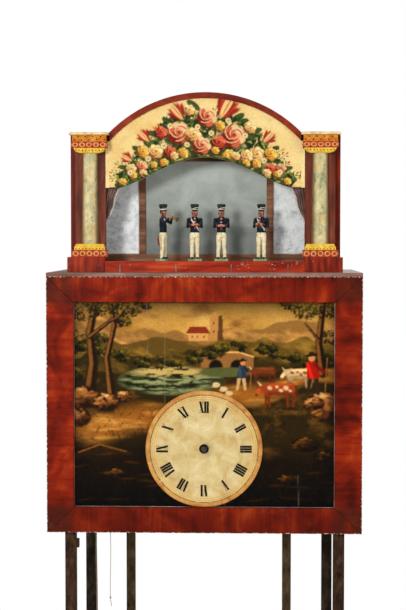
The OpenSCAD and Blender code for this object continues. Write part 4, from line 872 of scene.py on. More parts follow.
grid_x, grid_z = np.meshgrid(np.linspace(-SIGHT_X - 4, SIGHT_X + 4, 355),
                             np.linspace(SIGHT_Z0 - 4, SIGHT_Z1 + 4, 282))
painted_sheet("landscape_paint", grid_x, grid_z, PANEL_Y - 0.2, landscape(),
              oil_paint("oil_paint"),
              keep=lambda x, z: np.hypot(x, z - DIAL_Z) > 20)
dress(brown_x, "painted_panel")


# Front frame: four mitred members, with a thin metal sight edge

BACK_STILE, BACK_RAIL = 42, 39.5
MITRE = 0.1


def frame_member(name, side, upright, finish):
    """One mitred member, narrower behind the panel's plane than before it."""
    x1, z0, z1 = frame_high.x, frame_low.z, frame_high.z
    shape = Shape()
    for stile, rail, y0, y1 in ((STILE_W, RAIL_W, FRONT_Y, PANEL_Y),
                                (BACK_STILE, BACK_RAIL, PANEL_Y, frame_high.y)):
        x2 = x1 - stile
        if upright:
            outline = [(side * x1, z0 + MITRE), (side * x1, z1 - MITRE),
                       (side * x2, z1 - rail - MITRE), (side * x2, z0 + rail + MITRE)]
        else:
            out, step = (z0, rail) if side < 0 else (z1, -rail)
            outline = [(MITRE - x1, out), (x1 - MITRE, out), (x2 - MITRE, out + step),
                       (MITRE - x2, out + step)]
        shape.prism(outline, y0, y1)
    shape.piece(name, "case", finish, "mahogany",
                "front_frame" if name == "frame_left" else None, bevel=0.9)


veneer_x, veneer_z = frame_finish("veneer_x", "X"), frame_finish("veneer_z", "Z")
frame_member("frame_left", -1, True, veneer_x)
frame_member("frame_right", 1, True, veneer_x)
frame_member("frame_low", -1, False, veneer_z)
frame_member("frame_top", 1, False, veneer_z)

sight = Shape()
for x0, x1, z0, z1 in ((-SIGHT_X - 0.9, 0.9 - SIGHT_X, SIGHT_Z0, SIGHT_Z1),
                       (SIGHT_X - 0.9, SIGHT_X + 0.9, SIGHT_Z0, SIGHT_Z1),
                       (-SIGHT_X, SIGHT_X, SIGHT_Z0 - 0.9, SIGHT_Z0 + 0.9)):
    sight.box((x0, PANEL_Y - 1.6, z0), (x1, PANEL_Y - 0.3, z1))
sight.piece("sight_edge", "case",
            metal("old_silver", "60 52 46, 120 112 104, 176 170 162", 0.6, 60),
            "steel", bevel=0.3)


# Dial: cream paint with rings, and numerals as thin paint

def dial_finish():
    """Cream paint, warmer and dirtier outwards, with thin rings and a gilt rim."""
    f = Finish("dial_paint")
    dx, dz = f.axis("X"), f.axis("Z") - DIAL_Z * MM
    r = f.math("DIVIDE", f.math("SQRT", dx * dx + dz * dz), MM)
    blotch = f.noise(26, detail=7, rough=0.62, warp=0.6)
    face = f.ramp(blotch, (0.3, 0.45, 0.6, 0.75),
                  tones("190 152 90, 206 180 120, 218 196 142, 230 214 168"))
    face = f.stain(face, r, 78, 103, srgb(224, 176, 92), 0.55)
    spots = f.noise(3, detail=8, rough=0.75)
    face = f.stain(face, spots, 0.6, 0.7, srgb(150, 106, 52), 0.55)
    grime = f.between(r, 60, 101) * f.between(f.noise(40), 0.4, 0.7)
    face = f.mix(grime * 0.4, face, srgb(176, 128, 64))
    worn = f.between(f.noise(5, detail=6, rough=0.7), 0.36, 0.5)
    for radius, half_width, strength in ((101, 0.7, 0.85), (93.5, 0.28, 0.5), (97.5, 0.28, 0.5),
                                         (73.5, 0.3, 0.35)):
        ring = 1 - f.between(abs(r - radius), half_width * 0.6, half_width * 1.4)
        face = f.mix(ring * strength * worn, face, srgb(60, 42, 26))
    smudge = (1 - f.between(r, 9, 24)) * f.between(blotch, 0.42, 0.6)
    face = f.mix(smudge * 0.6, face, srgb(120, 92, 56))
    rim = f.ramp(blotch, (0.35, 0.6, 0.75), tones("170 102 46, 212 156 80, 224 180 110"))
    rim = f.stain(rim, spots, 0.58, 0.7, srgb(110, 60, 26))
    return f.done(f.stain(face, r, 101.4, 102.2, rim), 0.4 + spots * 0.25, height=spots,
                  depth=0.08, coat=0.03)


dress(dial_finish(), "dial")

# Width of each letter, its strokes (top, foot, thickness), and its serifs
# (middle, width) above and below
LETTERS = {
    "I": (4.7, [(2.35, 2.35, 3.8)], [(2.35, 4.7)], [(2.35, 4.7)]),
    "V": (8.6, [(2.2, 4.7, 3.8), (7.4, 5.1, 0.4)], [(2.2, 4.6), (7.4, 2.2)], []),
    "X": (9.4, [(2.2, 7.2, 3.8), (7.6, 1.8, 0.4)], [(2.2, 4.4), (7.6, 2.2)],
          [(1.8, 2.2), (7.2, 4.4)]),
}
NUMERAL_IN, NUMERAL_OUT, SERIF = 68, 89, 0.25
NUMERAL_FRONT, NUMERAL_BACK = dial_low.y + 0.82, dial_low.y + 1.2


def numeral(shape, text, hour):
    """Roman numeral standing on the inner ring, with thick and thin strokes."""
    angle = math.radians(90 - hour * 30)
    c, s = math.cos(angle), math.sin(angle)

    def stroke(u0, v0, u1, v1, width):
        corners = ((u0 - width / 2, v0), (u0 + width / 2, v0), (u1 + width / 2, v1),
                   (u1 - width / 2, v1))
        shape.prism([(s * u + c * v, DIAL_Z - c * u + s * v) for u, v in corners],
                    NUMERAL_FRONT, NUMERAL_BACK)

    left = -sum(LETTERS[letter][0] for letter in text) / 2
    for letter in text:
        width, strokes, above, below = LETTERS[letter]
        for top, foot, thick in strokes:
            stroke(left + top, NUMERAL_OUT, left + foot, NUMERAL_IN, thick)
        for level, serifs in ((NUMERAL_OUT, above), (NUMERAL_IN, below)):
            for middle, wide in serifs:
                stroke(left + middle, level - SERIF, left + middle, level + SERIF, wide)
        left += width


numerals = Shape()
for hour, text in enumerate("I II III IIII V VI VII VIII IX X XI XII".split(), 1):
    numeral(numerals, text, hour)
numerals.piece("numerals", "case",
               paint("numeral_ink", "20 16 12, 30 24 18, 52 40 28", 12,
                     "206 182 122", 0.03, 0.55), "dial_paint", smooth=0)


# Theatre: painted arch with a garland of made-up flowers

LEAF = tones("28 42 16, 52 72 28, 92 104 44, 140 140 70")
PINK = tones("122 22 14, 204 90 58, 244 190 132")
RED = tones("98 14 10, 172 34 22, 228 112 74")
PALE = tones("146 78 34, 222 160 80, 246 218 146")
GILT = tones("128 66 16, 214 140 42, 244 198 92")
STRIPED = tones("140 20 14, 190 46 28, 244 190 120")
PETAL, HEART = tones("236 212 150, 176 112 40")


def rose(c, x, z, size, shades):
    """Cabbage rose, lit from the upper right, with curved petal edges."""
    dark, middle, light = shades
    turn = c.any(-0.5, 0.5)
    line, spot = brushes(c, x, z, size)
    spot(-0.1, -0.2, 1.2, 1.1, 0, LEAF[0], 0.75, 3)
    for a in circle(7):
        u, v = math.cos(a + turn), math.sin(a + turn)
        tone = light if u + v > 0.3 else middle if u + v > -0.7 else dark
        spot(0.56 * u, 0.52 * v, 0.44, 0.4, a + turn, c.vary(tone, 0.1))
    spot(0, 0, 0.62, 0.56, 0, middle, 0.8, 1.6)
    spot(-0.42, -0.36, 0.5, 0.36, -0.8, dark, 0.6, 1.4)
    spot(0.34, 0.4, 0.44, 0.3, -0.8, light, 0.85, 1.4)
    for radius, start, sweep in ((0.86, 2.4, 1.5), (0.84, 4.3, 1.4), (0.66, 0.4, 1.9),
                                 (0.64, 3.2, 1.8), (0.42, 1.6, 2.2), (0.4, 4.6, 2.0)):
        edge = []
        for k in range(6):
            a = start + turn + sweep * k / 5
            r = radius * (1 - 0.06 * k)
            edge.append((r * math.cos(a), 0.06 + r * 0.9 * math.sin(a)))
        line(edge, [0.05] * 6, dark, 0.8)
        line([(u + 0.04, v + 0.07) for u, v in edge], [0.05] * 6, c.vary(light, 0.08), 0.6)
    spot(0.04, 0.1, 0.16, 0.12, 0.4, dark, 0.9, 2)


def daisy(c, x, z, size):
    """Round flower with nine petals and a shaded heart."""
    line, spot = brushes(c, x, z, size)
    spot(0, 0, 1.02, 0.98, 0, shade(HEART, 0.55), 0.9, 6)
    for a in circle(9):
        spot(0.6 * math.cos(a), 0.6 * math.sin(a), 0.4, 0.25, a, c.vary(PETAL, 0.14), 0.95, 3)
    spot(0, 0, 0.42, 0.38, 0, HEART, 1)
    spot(-0.1, 0.1, 0.2, 0.14, 0.6, PETAL, 0.8, 3)


def tulip(c, x, z, size, angle):
    """Open tulip with striped petals."""
    dark, middle, light = STRIPED
    line, spot = brushes(c, x, z, size)
    for spread, tone in ((0.62, dark), (-0.62, dark), (0.34, middle), (-0.34, middle),
                         (0.12, light), (-0.14, dark), (0, light)):
        a = angle + spread
        long = 0.62 - 0.16 * abs(spread)
        u, v = long * 0.8 * math.cos(a), long * 0.8 * math.sin(a)
        spot(u, v, long, 0.15, a, c.vary(tone, 0.08), 0.95, 3)
        spot(u, v, long * 0.8, 0.035, a + 0.05, shade(dark, 0.8), 0.6, 3)


def leaf(c, x, z, size, angle, tone):
    """Pointed leaf, one half in light, with its midrib."""
    u, v = size * math.cos(angle), size * math.sin(angle)
    c.dab(x, z, size, size * 0.42, angle, c.vary(shade(tone, 0.6), 0.15), 0.95, 5)
    c.dab(x - 0.13 * v, z + 0.13 * u, size * 0.82, size * 0.2, angle,
          c.vary(shade(tone, 1.25), 0.15), 0.85)
    c.stroke([(x - 0.85 * u, z - 0.85 * v), (x + 0.85 * u, z + 0.85 * v)], [0.5, 0.3],
             shade(tone, 2.4), 0.55)


def sprig(c, x, z, size, angle, berry):
    """Stem with narrow leaves and buds."""
    u, v = size * math.cos(angle), size * math.sin(angle)
    c.stroke([(x, z), (x + u, z + v)], [1.0, 0.5], srgb(70, 74, 30), 0.9)
    for k in range(6):
        t, side = 0.25 + 0.13 * k, 0.15 if k % 2 else -0.15
        c.dab(x + u * t + side * v, z + v * t - side * u, 3.6, 1.3,
              angle - math.copysign(0.8, side), c.vary(LEAF[1 + k % 2], 0.2), 0.9)
    c.dab(x + u, z + v, 3.4, 2.2, angle, c.vary(berry, 0.15), 0.95, 4)
    c.dab(x + u - 1, z + v + 0.8, 1.6, 1, angle, shade(berry, 1.7), 0.7)


def drape(x):
    """Height of the arch board's lower edge above the stage's foot."""
    return 160 + 57.5 * (0.5 + 0.5 * np.cos(np.pi * np.minimum(np.abs(x), 165) / 165)) ** 0.7


def place(x, rise):
    """Place so high above the arch board's lower edge."""
    return x, float(drape(np.array(x))) + rise


def mass(x):
    """How high the flowers stand above the edge at a place."""
    return 15 + 84 * math.exp(-(x / 142) ** 4)


def leaves(c):
    """Sprigs and large leaves round the outside, then small leaves within."""
    for k in range(33):
        x = -168 + 10.5 * k
        angle = math.pi / 2 - x / 110 + c.any(-0.4, 0.4)
        sprig(c, *place(x * 0.96, mass(x) * 0.68), c.any(20, 32), angle,
              c.choice((RED[1], PINK[1], STRIPED[1], LEAF[3], GILT[1])))
    for k in range(84):
        x = -162 + 3.9 * k
        angle = math.pi / 2 - x / 100 + c.any(-0.9, 0.9)
        leaf(c, *place(x, mass(x) * c.any(0.45, 0.9)), c.any(8, 15), angle,
             LEAF[c.choice((0, 1, 1, 2))])
    for x, rise, size, angle in ((-22, 100, 17, 2.5), (-70, 84, 15, 2.6), (62, 88, 16, 0.5),
                                 (-98, 74, 14, 2.9), (96, 78, 14, 0.3), (-128, 60, 13, 2.7),
                                 (130, 60, 13, 0.5), (-154, 36, 12, 3.0), (156, 34, 12, 0.2)):
        leaf(c, *place(x, rise), size, angle, LEAF[1])
    for k in range(640):
        x = c.any(-168, 168)
        leaf(c, *place(x, c.any(1, mass(x) * 0.9)), c.any(3.5, 8), c.any(0, 3.14),
             LEAF[c.choice((0, 0, 1, 1, 2, 3))])


def flowers(c):
    """Tulips, then roses from large to small, and daisies over the small leaves."""
    for x, rise, size, angle in ((-44, 80, 34, 2.2), (30, 80, 46, 1.0), (-108, 66, 26, 2.3),
                                 (112, 66, 26, 0.7), (-140, 44, 22, 2.6)):
        tulip(c, *place(x, rise), size, angle)
    for x, rise, size, shades in (
            (4, 76, 21, PINK), (-50, 54, 24, PINK), (54, 50, 25, PINK), (-94, 38, 16, PALE),
            (98, 34, 17, PALE), (-22, 44, 16, PALE), (26, 30, 15, RED), (-6, 22, 19, PINK),
            (-66, 24, 13, RED), (78, 22, 14, PALE), (-120, 24, 12, PINK), (124, 20, 12, RED),
            (-30, 92, 12, PALE), (-42, 14, 12, GILT), (-118, 50, 13, GILT), (-84, 70, 13, RED),
            (124, 48, 14, GILT), (86, 78, 12, PALE), (-140, 28, 11, PALE), (144, 30, 11, PINK),
            (46, 12, 12, GILT), (28, 62, 11, GILT)):
        rose(c, *place(x, rise), size, shades)
    for k in range(17):
        x = -156 + 19.5 * k
        if abs(x + 8) >= 20:
            rise = 8 + 6 * (k % 2) + c.any(-1, 2)
            rose(c, *place(x, rise), c.any(7.4, 10), (GILT, GILT, PALE)[k % 3])
    for k in range(60):
        leaf(c, *place(-164 + 5.5 * k, c.any(1.5, 4)), c.any(3.5, 6), c.any(-0.6, 0.6),
             LEAF[c.choice((0, 1, 1, 2, 3))])
    for x, rise, size in ((-78, 42, 7), (-108, 32, 6.5), (76, 60, 6), (112, 30, 6), (-14, 58, 6),
                          (12, 46, 6), (44, 76, 6), (-66, 74, 6), (-34, 28, 6), (142, 22, 6),
                          (-142, 22, 6)):
        daisy(c, *place(x, rise), size)


def garland():
    """Cream ground with roses, tulips and daisies along the lower edge."""
    c = Canvas(190, STAGE_Z, 155, 332, 0.8, 5)
    x, h = c.X, c.Z - STAGE_Z
    c.rgb[:] = np.asarray(srgb(234, 200, 128))
    c.lay((cloud(x, h, 60, 3) - 0.42) * 2.2, srgb(242, 214, 148))
    c.lay((cloud(x, h, 34, 9) - 0.5) * 1.6, srgb(222, 174, 98))
    c.lay((cloud(x, h, 6, 19) - 0.7) * 3, srgb(190, 142, 74))
    above = h - drape(x)
    reach = 12 + 42 * np.exp(-(x / 130) ** 4)
    c.lay(np.clip(1.3 - above / reach, 0, 1) * np.clip((172 - np.abs(x)) / 16, 0, 1) * 0.95,
          srgb(32, 37, 16))
    leaves(c)
    flowers(c)
    # Dark line along the cut edge
    c.lay(np.clip(1.6 - above, 0, 1), srgb(40, 30, 18))
    return c


ARCH_HALF, VAULT_R, VAULT_Z = 182, 245, 84.05
arch_x, up = np.meshgrid(np.linspace(-ARCH_HALF, ARCH_HALF, 440), np.linspace(0, 1, 110))
vault = VAULT_Z + np.sqrt(VAULT_R ** 2 - arch_x * arch_x)
arch_z = STAGE_Z + drape(arch_x) * (1 - up) + (vault - 0.3) * up
painted_sheet("garland_paint", arch_x, arch_z, span("arch_board")[0].y - 0.25, garland(),
              oil_paint("arch_paint", 0.45))
dress(paint("edge_cream", "222 190 120, 240 214 146, 244 224 162",
            worn="160 120 66", wear=0.02), "arch_board")
dress(roof_paint, "stage_roof")
dress(wood("pilaster_wood", PILASTER, "Z", chips=0.03), "pilasters")
dress(mahogany_z, "stage_sides")


# Columns, capitals and bases

COLUMN_X = 218
PILASTER_Y = -96
RING_PITCH, RING_BULGE, RING_LINE = 13.2, 1.3, 1.4


def marble_finish():
    """Speckled cream and grey-green marbling, with painted shade in brown towards the flanks."""
    f = Finish("marbled")
    patch = f.noise(15, (1, 1, 0.7), 9, 0.72, 0.8)
    colour = f.ramp(patch, (0.36, 0.45, 0.54, 0.66),
                    tones("128 130 96, 184 178 132, 214 196 144, 232 216 168"))
    colour = f.stain(colour, f.noise(30), 0.46, 0.66, srgb(206, 168, 100), 0.55)
    fine = f.noise(2.6, detail=8, rough=0.75)
    colour = f.stain(colour, fine, 0.56, 0.66, srgb(116, 88, 48), 0.6)
    # Painted shade: browner towards the column's flanks, where a round shaft turns from the light
    around = abs(abs(f.axis("X")) - COLUMN_X * MM)
    colour = f.stain(colour, around, 0.0075, 0.015, srgb(92, 60, 34), 0.8)
    return f.done(colour, 0.42, height=fine, depth=0.06, coat=0.05)


dress(marble_finish(), "columns")

band_orange = paint("band_orange", "160 84 22, 204 126 38, 224 158 66", 9,
                    "120 52 14", 0.02)
band_yellow = paint("band_yellow", "206 144 34, 234 188 62, 240 208 104", 9,
                    "150 90 26", 0.03)
bead_red = paint("bead_red", "112 30 14, 166 56 28, 190 80 42", 7)
bead_pale = paint("bead_pale", "206 116 60, 230 152 90, 240 186 128", 6,
                  "150 52 28", 0.02)
dot_brown = paint("dot_brown", "76 26 10, 112 44 14, 134 62 22", 4)
slab_pale = paint("slab_pale", "190 166 118, 236 212 158, 244 230 188", 16,
                  "132 96 62", 0.04, 0.6)
plinth_red = wood("plinth_red", "60 16 10, 120 32 16, 158 48 24, 190 78 44", "Z",
                  chips=0.09)


def block(shape, side, mark, z0, z1, width, depth, top=None):
    """Block in front of a pilaster. Its top may have another width and depth."""
    shape.rings([[(side * COLUMN_X + x, PILASTER_Y - y, STAGE_Z + z)
                  for x, y in ((-w / 2, 0), (w / 2, 0), (w / 2, d), (-w / 2, d))]
                 for z, (w, d) in ((z0, (width, depth)), (z1, top or (width, depth)))], mark)


def studs(side, z, width, depth, pitch, wide, deep, high):
    """Places and sizes of studs along a block's front, then along its flanks.

    Each comes with the way out of the face that it is on."""
    middle = Vector((side * COLUMN_X, PILASTER_Y, STAGE_Z + z))
    count = round(width / pitch)
    for k in range(count):
        yield (middle + Vector(((k + 0.5) * width / count - width / 2, -depth, 0)),
               Vector((wide, deep, high)), Vector((0, -1, 0)))
    count = max(round(depth / pitch), 1)
    for k in range(count):
        for flank in (-1, 1):
            yield (middle + Vector((flank * width / 2, -(k + 0.5) * depth / count, 0)),
                   Vector((deep, wide, high)), Vector((flank, 0, 0)))


def ringed_band(side, z0, z1, width, depth):
    """Red block with rounded edges and a row of pale oval rings."""
    shape = Shape()
    block(shape, side, 0, z0, z1, width, depth)
    for centre, size, out in studs(side, (z0 + z1) / 2, width, depth, RING_PITCH,
                                   RING_PITCH * 0.43, RING_BULGE, (z1 - z0) * 0.4):
        shape.ball(centre, size, 1)
        shape.ball(centre + out * RING_BULGE * 0.62, size * 0.6, 0, 12, 6)
    for z in (z0, z1 - RING_LINE):
        block(shape, side, 0, z, z + RING_LINE, width + 1.6, depth + 0.8)
    return shape


def base_and_capital(side, word):
    """Plinth, base and capital of one column."""
    base = ringed_band(side, 28.6, 42, 65, 22)
    block(base, side, 2, 42, 47.5, 58, 20)
    block(base, side, 2, 47.5, 53.4, 58, 20, (51.2, 16.6))
    capital = ringed_band(side, 234.5, 246, 65.5, 22.2)
    # Flared neck in two steps, then the scalloped and dotted bands and the slab
    block(capital, side, 2, 225, 227.5, 36, 17, (50, 19))
    block(capital, side, 2, 227.5, 234.5, 52, 19.5, (61, 21))
    for shape, mark, z, width, depth, pitch in ((capital, 4, 230, 57, 20.4, 6.3),
                                                (base, 3, 44.2, 58, 20, 6.4)):
        for centre, size, out in studs(side, z, width, depth, pitch, pitch * 0.2, 0.5, 1):
            shape.ball(centre, size, mark, 8, 6)
    block(capital, side, 3, 246, 259, 64, 21)
    for row, z in ((0, 249.6), (1, 255.4)):
        for k, (centre, size, out) in enumerate(studs(side, z, 64, 21, 7.3, 1.5, 0.7, 1.5)):
            if out.x or (k + row) % 2 == 0:
                capital.ball(centre, size, 4, 10, 6)
    for inset, y, z0, z1 in ((0, -122, 259.1, 262), (1.4, -120.6, 262, 264)):
        capital.box((side * (182 + inset), y, STAGE_Z + z0),
                    (side * (256 - inset), PILASTER_Y, STAGE_Z + z1), 5)
    plinth = Shape().box((side * 189, -120, STAGE_Z), (side * 260, -84, STAGE_Z + 28.6))
    finishes = [bead_red, bead_pale, band_yellow, band_orange, dot_brown, slab_pale]
    stands_for = ("plinths", "capitals") if side < 0 else (None, None)
    plinth.piece("plinth_" + word, "case", plinth_red, "rail_red", stands_for[0], bevel=0.8)
    base.piece("base_" + word, "case", finishes[:3] + [dot_brown], "gilt_yellow", bevel=0.5)
    capital.piece("capital_" + word, "case", finishes, "gilt_yellow", stands_for[1], bevel=0.4)


base_and_capital(-1, "left")
base_and_capital(1, "right")


# Inner theatre: floor, rail, backdrop, mirrors, posts

def backdrop_finish():
    """Grey paint, paler upwards, with dark specks."""
    f = Finish("backdrop_paint")
    mist = f.noise(60, detail=6, rough=0.6, warp=0.6)
    fade = f.between(f.axis("Z"), (STAGE_Z + 30) * MM, (STAGE_Z + 200) * MM)
    low, high = (f.ramp(mist, (0.35, 0.65), tones(pair))
                 for pair in ("108 113 108, 138 143 136", "162 170 162, 190 197 188"))
    speck = f.noise(4, detail=8, rough=0.75)
    colour = f.stain(f.mix(fade, low, high), speck, 0.6, 0.72, srgb(74, 76, 70), 0.45)
    return f.done(colour, 0.45, height=speck, depth=0.05)


def mirror_finish():
    """Old silvering: cloudy, with grey blots and fine spots; its near-white tones are partly painted
    reflection.
    """
    f = Finish("clouded_mirror")
    cloudy = f.noise(14, detail=9, rough=0.7, warp=0.5)
    # Pale clouded silvering, brightened to near white as painted reflection
    colour = f.ramp(cloudy, (0.34, 0.48, 0.62, 0.75),
                    tones("186 192 196, 236 239 238, 248 250 248, 252 253 250"))
    colour = f.stain(colour, f.noise(30, detail=7, rough=0.7), 0.5, 0.6, srgb(160, 166, 170), 0.35)
    spots = f.noise(3, detail=8, rough=0.75)
    colour = f.stain(colour, spots, 0.6, 0.7, srgb(120, 114, 112), 0.6)
    return f.done(colour, 0.5 + cloudy * 0.4, 0.25, spots, 0.03, shine=0.4)


dress(rail_red, "front_rail")
dress(brown_x, "stage_floor", "backboard")
dress(steel, "rail_pins")
dress(backdrop_finish(), "backdrop_panel")
dress(mirror_finish(), "mirrors")

pane_low, pane_high = span("mirrors")
pane_edges = Shape()
for side in (-1, 1):
    for x0, x1, deep, z1 in ((130.4, 132.2, 1.0, pane_high.z), (197.1, 198.9, 1.0, pane_high.z),
                             (130.4, 199, 1.1, pane_low.z + 1.9)):
        pane_edges.box((side * x0, pane_low.y - deep, pane_low.z), (side * x1, pane_low.y + 0.5, z1))
pane_edges.piece("pane_edges", "case",
                 paint("pane_edge", "170 146 136, 206 188 176, 226 214 204", 10),
                 "gilt_yellow", bevel=0.3)


# Curtains: gathered cloth in the upper corners, with a pale scalloped fringe

def cloth_finish(name, shades, thread):
    """Faded weave with threads both ways."""
    f, shades = Finish(name), tones(shades)
    weave = f.noise(thread, (1, 1, 0.08), 2) * f.noise(thread, (0.08, 0.08, 1), 2)
    colour = f.ramp(f.noise(18), (0.32, 0.52, 0.7), shades)
    colour = f.mix(f.between(weave, 0.2, 0.36), f.mix(0.5, colour, shades[0]), colour)
    return f.done(colour, 0.92, height=weave, depth=0.25, sheen=0.25)


curtain_brown = cloth_finish("curtain_brown", "92 66 60, 150 114 102, 190 156 140", 1.1)
fringe_pale = cloth_finish("fringe_pale", "176 164 152, 216 206 196, 236 230 222", 0.7)
CURTAIN_TOP, CURTAIN_LOW, CURTAIN_OUT, CURTAIN_Y = 176, 92, 195, -81.5
CURTAIN_COLUMNS, CURTAIN_ROWS, FOLDS = 48, 56, 34 / 7
CLOTH_THICK, FRINGE_PITCH = 0.5, 4.2


def curtain_inner(z):
    """Distance of the curtain's inner edge from the middle, by height."""
    return float(np.interp(z, [92, 108, 124, 142, 160, 176], [193, 184, 177, 174, 166, 161]))


def curtain(side, word):
    """Gathered cloth: upright folds that draw in towards the tie at its foot."""
    points, faces = [], []
    for j in range(CURTAIN_ROWS + 1):
        z = CURTAIN_TOP - (CURTAIN_TOP - CURTAIN_LOW) * j / CURTAIN_ROWS
        for i in range(CURTAIN_COLUMNS + 1):
            t = i / CURTAIN_COLUMNS
            x = CURTAIN_OUT + (curtain_inner(z) - CURTAIN_OUT) * t
            wave = math.sin(TAU * (t * FOLDS + 0.08 * math.sin(z / 9)))
            deep = 2.1 * wave + 0.35 * math.sin(z / 6 + 9 * t)
            points.append((side * x, CURTAIN_Y + deep, STAGE_Z + z))
            if i and j:
                a = len(points) - 1
                b = a - CURTAIN_COLUMNS - 1
                faces.append([b - 1, b, a, a - 1])
    cloth = Shape().solid(points, faces).piece("curtain_" + word, "case", curtain_brown,
                                               "curtain_cloth", "curtains" if side < 0 else None,
                                               smooth=180)
    thick = cloth.modifiers.new("thick", "SOLIDIFY")
    thick.thickness = CLOTH_THICK * MM
    thick.offset = 0
    return cloth


def fringe(side, word):
    """Scallops and short threads along the curtain's inner edge."""
    shape = Shape()
    z = CURTAIN_TOP - 3
    while z > CURTAIN_LOW + 3:
        inner, level = curtain_inner(z), STAGE_Z + z
        shape.ball((side * (inner - 0.6), CURTAIN_Y - 0.4, level), (2.4, 0.9, 2.2), 0, 10, 6)
        for k in (-1, 0, 1):
            shape.tube([(side * (inner - 1.6), CURTAIN_Y - 0.4, level + k),
                        (side * (inner - 3.6), CURTAIN_Y - 0.6, level + k - 2.2)], [0.5, 0.3], 5)
        z -= FRINGE_PITCH
    return shape.piece("fringe_" + word, "case", fringe_pale, "curtain_cloth", smooth=60)


for side, word in ((-1, "left"), (1, "right")):
    cloth, trim = curtain(side, word), fringe(side, word)


# Bandsmen: carved and painted, each on its green plate

FIGURE_FINISHES = [
    paint("uniform_blue", "14 15 20, 28 31 40, 50 54 64", 7, "112 92 76", 0.03),
    paint("cloth_cream", "206 186 136, 238 224 182, 248 240 210", 9, "150 120 80", 0.04),
    paint("tail_red", "90 34 28, 138 62 50, 170 92 76", 6),
    paint("skin", "150 84 64, 196 124 96, 222 166 138", 5, grime=0.25),
    paint("hair_black", "20 19 17, 42 42 38, 72 72 64", 5),
    paint("belt_white", "190 182 164, 226 220 206, 240 236 226", 5),
    paint("plate_green", "84 112 70, 128 156 110, 186 200 166", 8, "214 210 184", 0.05),
    paint("horn_brown", "70 36 20, 116 64 36, 150 92 54", 6),
    brass,
]
BLUE, CREAM, TAIL, SKIN, BLACK, WHITE, GREEN, HORN, GOLD = range(9)

# One entry for each bandsman
FIGURE_X = [-80, -20, 31, 107]
FIGURE_TURN = [68, 4, 0, -14]
SPLAY = [3.0, 0.4, 2.2, 0.8]
ELBOWS = [(14.5, -9, 73), (13.4, -2, 66), (13.4, -2, 66), (13.4, -3, 66)]
HANDS = [(4, -17, 84), (5, -17, 70), (5, -17, 68), (5, -17, 71)]
TOOLS = [((0, -12, 88), (0, -30, 80), 1.4, 4.4), ((0, -12, 84), (0, -22, 62), 1.1, 2.5),
         ((0, -12, 84), (0, -22, 60), 1.1, 2.3), ((0, -12, 85), (0, -25, 66), 1.1, 3.0)]

# Heights with their radii across and in depth, and the tails' corners by height
TORSO = [(55, 8.9, 6.8), (58, 8.2, 6.3), (63, 8.6, 6.6), (69, 9.4, 7.1), (75, 9.9, 7.2),
         (79, 9.7, 6.8), (82, 8.0, 5.8), (84, 5.4, 4.7), (86, 3.8, 3.8)]
TAILS = [(49, ((1.2, 6.4), (7.8, 5.2), (7.8, 8.2), (1.2, 9.0))),
         (41, ((1.0, 6.8), (7.2, 5.8), (7.2, 9.0), (1.0, 9.8))),
         (30, ((1.0, 6.6), (5.0, 6.2), (5.0, 8.6), (1.0, 9.0)))]
BELL = [(0, 0), (0.25, 0.03), (0.5, 0.1), (0.75, 0.25), (0.88, 0.5), (0.96, 0.8), (1, 1)]


def torso_at(z):
    """The torso's radii across and in depth at a height."""
    heights, across, deep = zip(*TORSO)
    return float(np.interp(z, heights, across)), float(np.interp(z, heights, deep))


def strap(shape, face):
    """Broad white belt across the torso, on its back or its front."""
    rings = []
    for k in range(15):
        x, z = -6.6 + 13.6 * k / 14, 80.5 - 20 * k / 14
        rx, ry = torso_at(z)
        y = face * ry * math.sqrt(max(1 - (x / (rx + 0.01)) ** 2, 0.02))
        out = 1 + 0.75 / max(math.hypot(x, y), 1)
        rings.append([(x * grow, y * grow + face * 0.1, z + lift) for grow, lift in (
            (1, -2.2), (out, -2.2), (out, 2.2), (1, 2.2))])
    shape.rings(rings, WHITE)


def leg(s, side, splay):
    """Boot, trouser leg with a stripe down its seam, coat tail and shoulder roll."""
    x = side * 5.2
    foot = x + side * splay * 0.5
    s.ball((foot, -2.2, 6.6), (2.9, 5.6, 2.1), BLACK)
    s.stack([(foot, 0.2, 6.0, 3.0, 3.3), (foot, 0, 9, 3.2, 3.4), (foot * 0.98, -0.2, 18, 3.7, 3.9),
             (x, -0.6, 27, 3.9, 4.2), (x * 0.98, 0, 36, 4.6, 5.0), (x * 0.92, 0, 46, 5.2, 5.8),
             (x * 0.85, 0, 51, 5.0, 5.6)], 18, CREAM)
    s.tube([(foot + side * 3.2, 0, 9), (x + side * 3.9, 0, 27), (x * 0.94 + side * 5.1, 0, 45)],
           [0.45, 0.5, 0.5], 8, TAIL)
    s.rings([[(side * u, v, z) for u, v in corners] for z, corners in TAILS], TAIL)
    s.ball((side * 10.2, 0, 82.4), (2.6, 3.1, 1.2), TAIL, 12, 6)


def head(s):
    """Plain painted face, hair and whiskers."""
    s.stack([(0, 0.2, 85, 3.3, 3.4), (0, 0.1, 89, 3.0, 3.2)], 16, SKIN)
    s.ball((0, 0, 93.4), (5.0, 5.5, 7.0), SKIN, 22, 14)
    s.ball((0, 1.3, 94.6), (5.3, 5.2, 6.0), BLACK, 20, 12)
    s.tube([(0, -5.2, 95.4), (0, -6.7, 92.9), (0, -5.7, 92.4)], [0.5, 1.0, 0.5], 8, SKIN)
    for side in (-1, 1):
        s.ball((side * 5.0, 0.2, 93.2), (0.8, 1.2, 1.8), SKIN, 8, 6)
        s.ball((side * 1.9, -5.1, 94.6), (0.75, 0.5, 0.55), BLACK, 8, 5)
        s.tube([(side * 1.0, -5.2, 95.9), (side * 2.8, -4.7, 96.1)], [0.3, 0.25], 6, BLACK)
        s.tube([(0, -5.85, 91.0), (side * 1.8, -5.3, 90.6), (side * 3.0, -4.5, 91.2)],
               [0.7, 0.6, 0.3], 8, BLACK)
        s.stack([(side * 4.6, -1.6, 88.4, 0.8, 1.4), (side * 4.8, -1.0, 94, 1.0, 1.6)], 8, BLACK)
    s.ball((0, -5.2, 89.2), (1.6, 0.6, 0.6), TAIL, 10, 5)


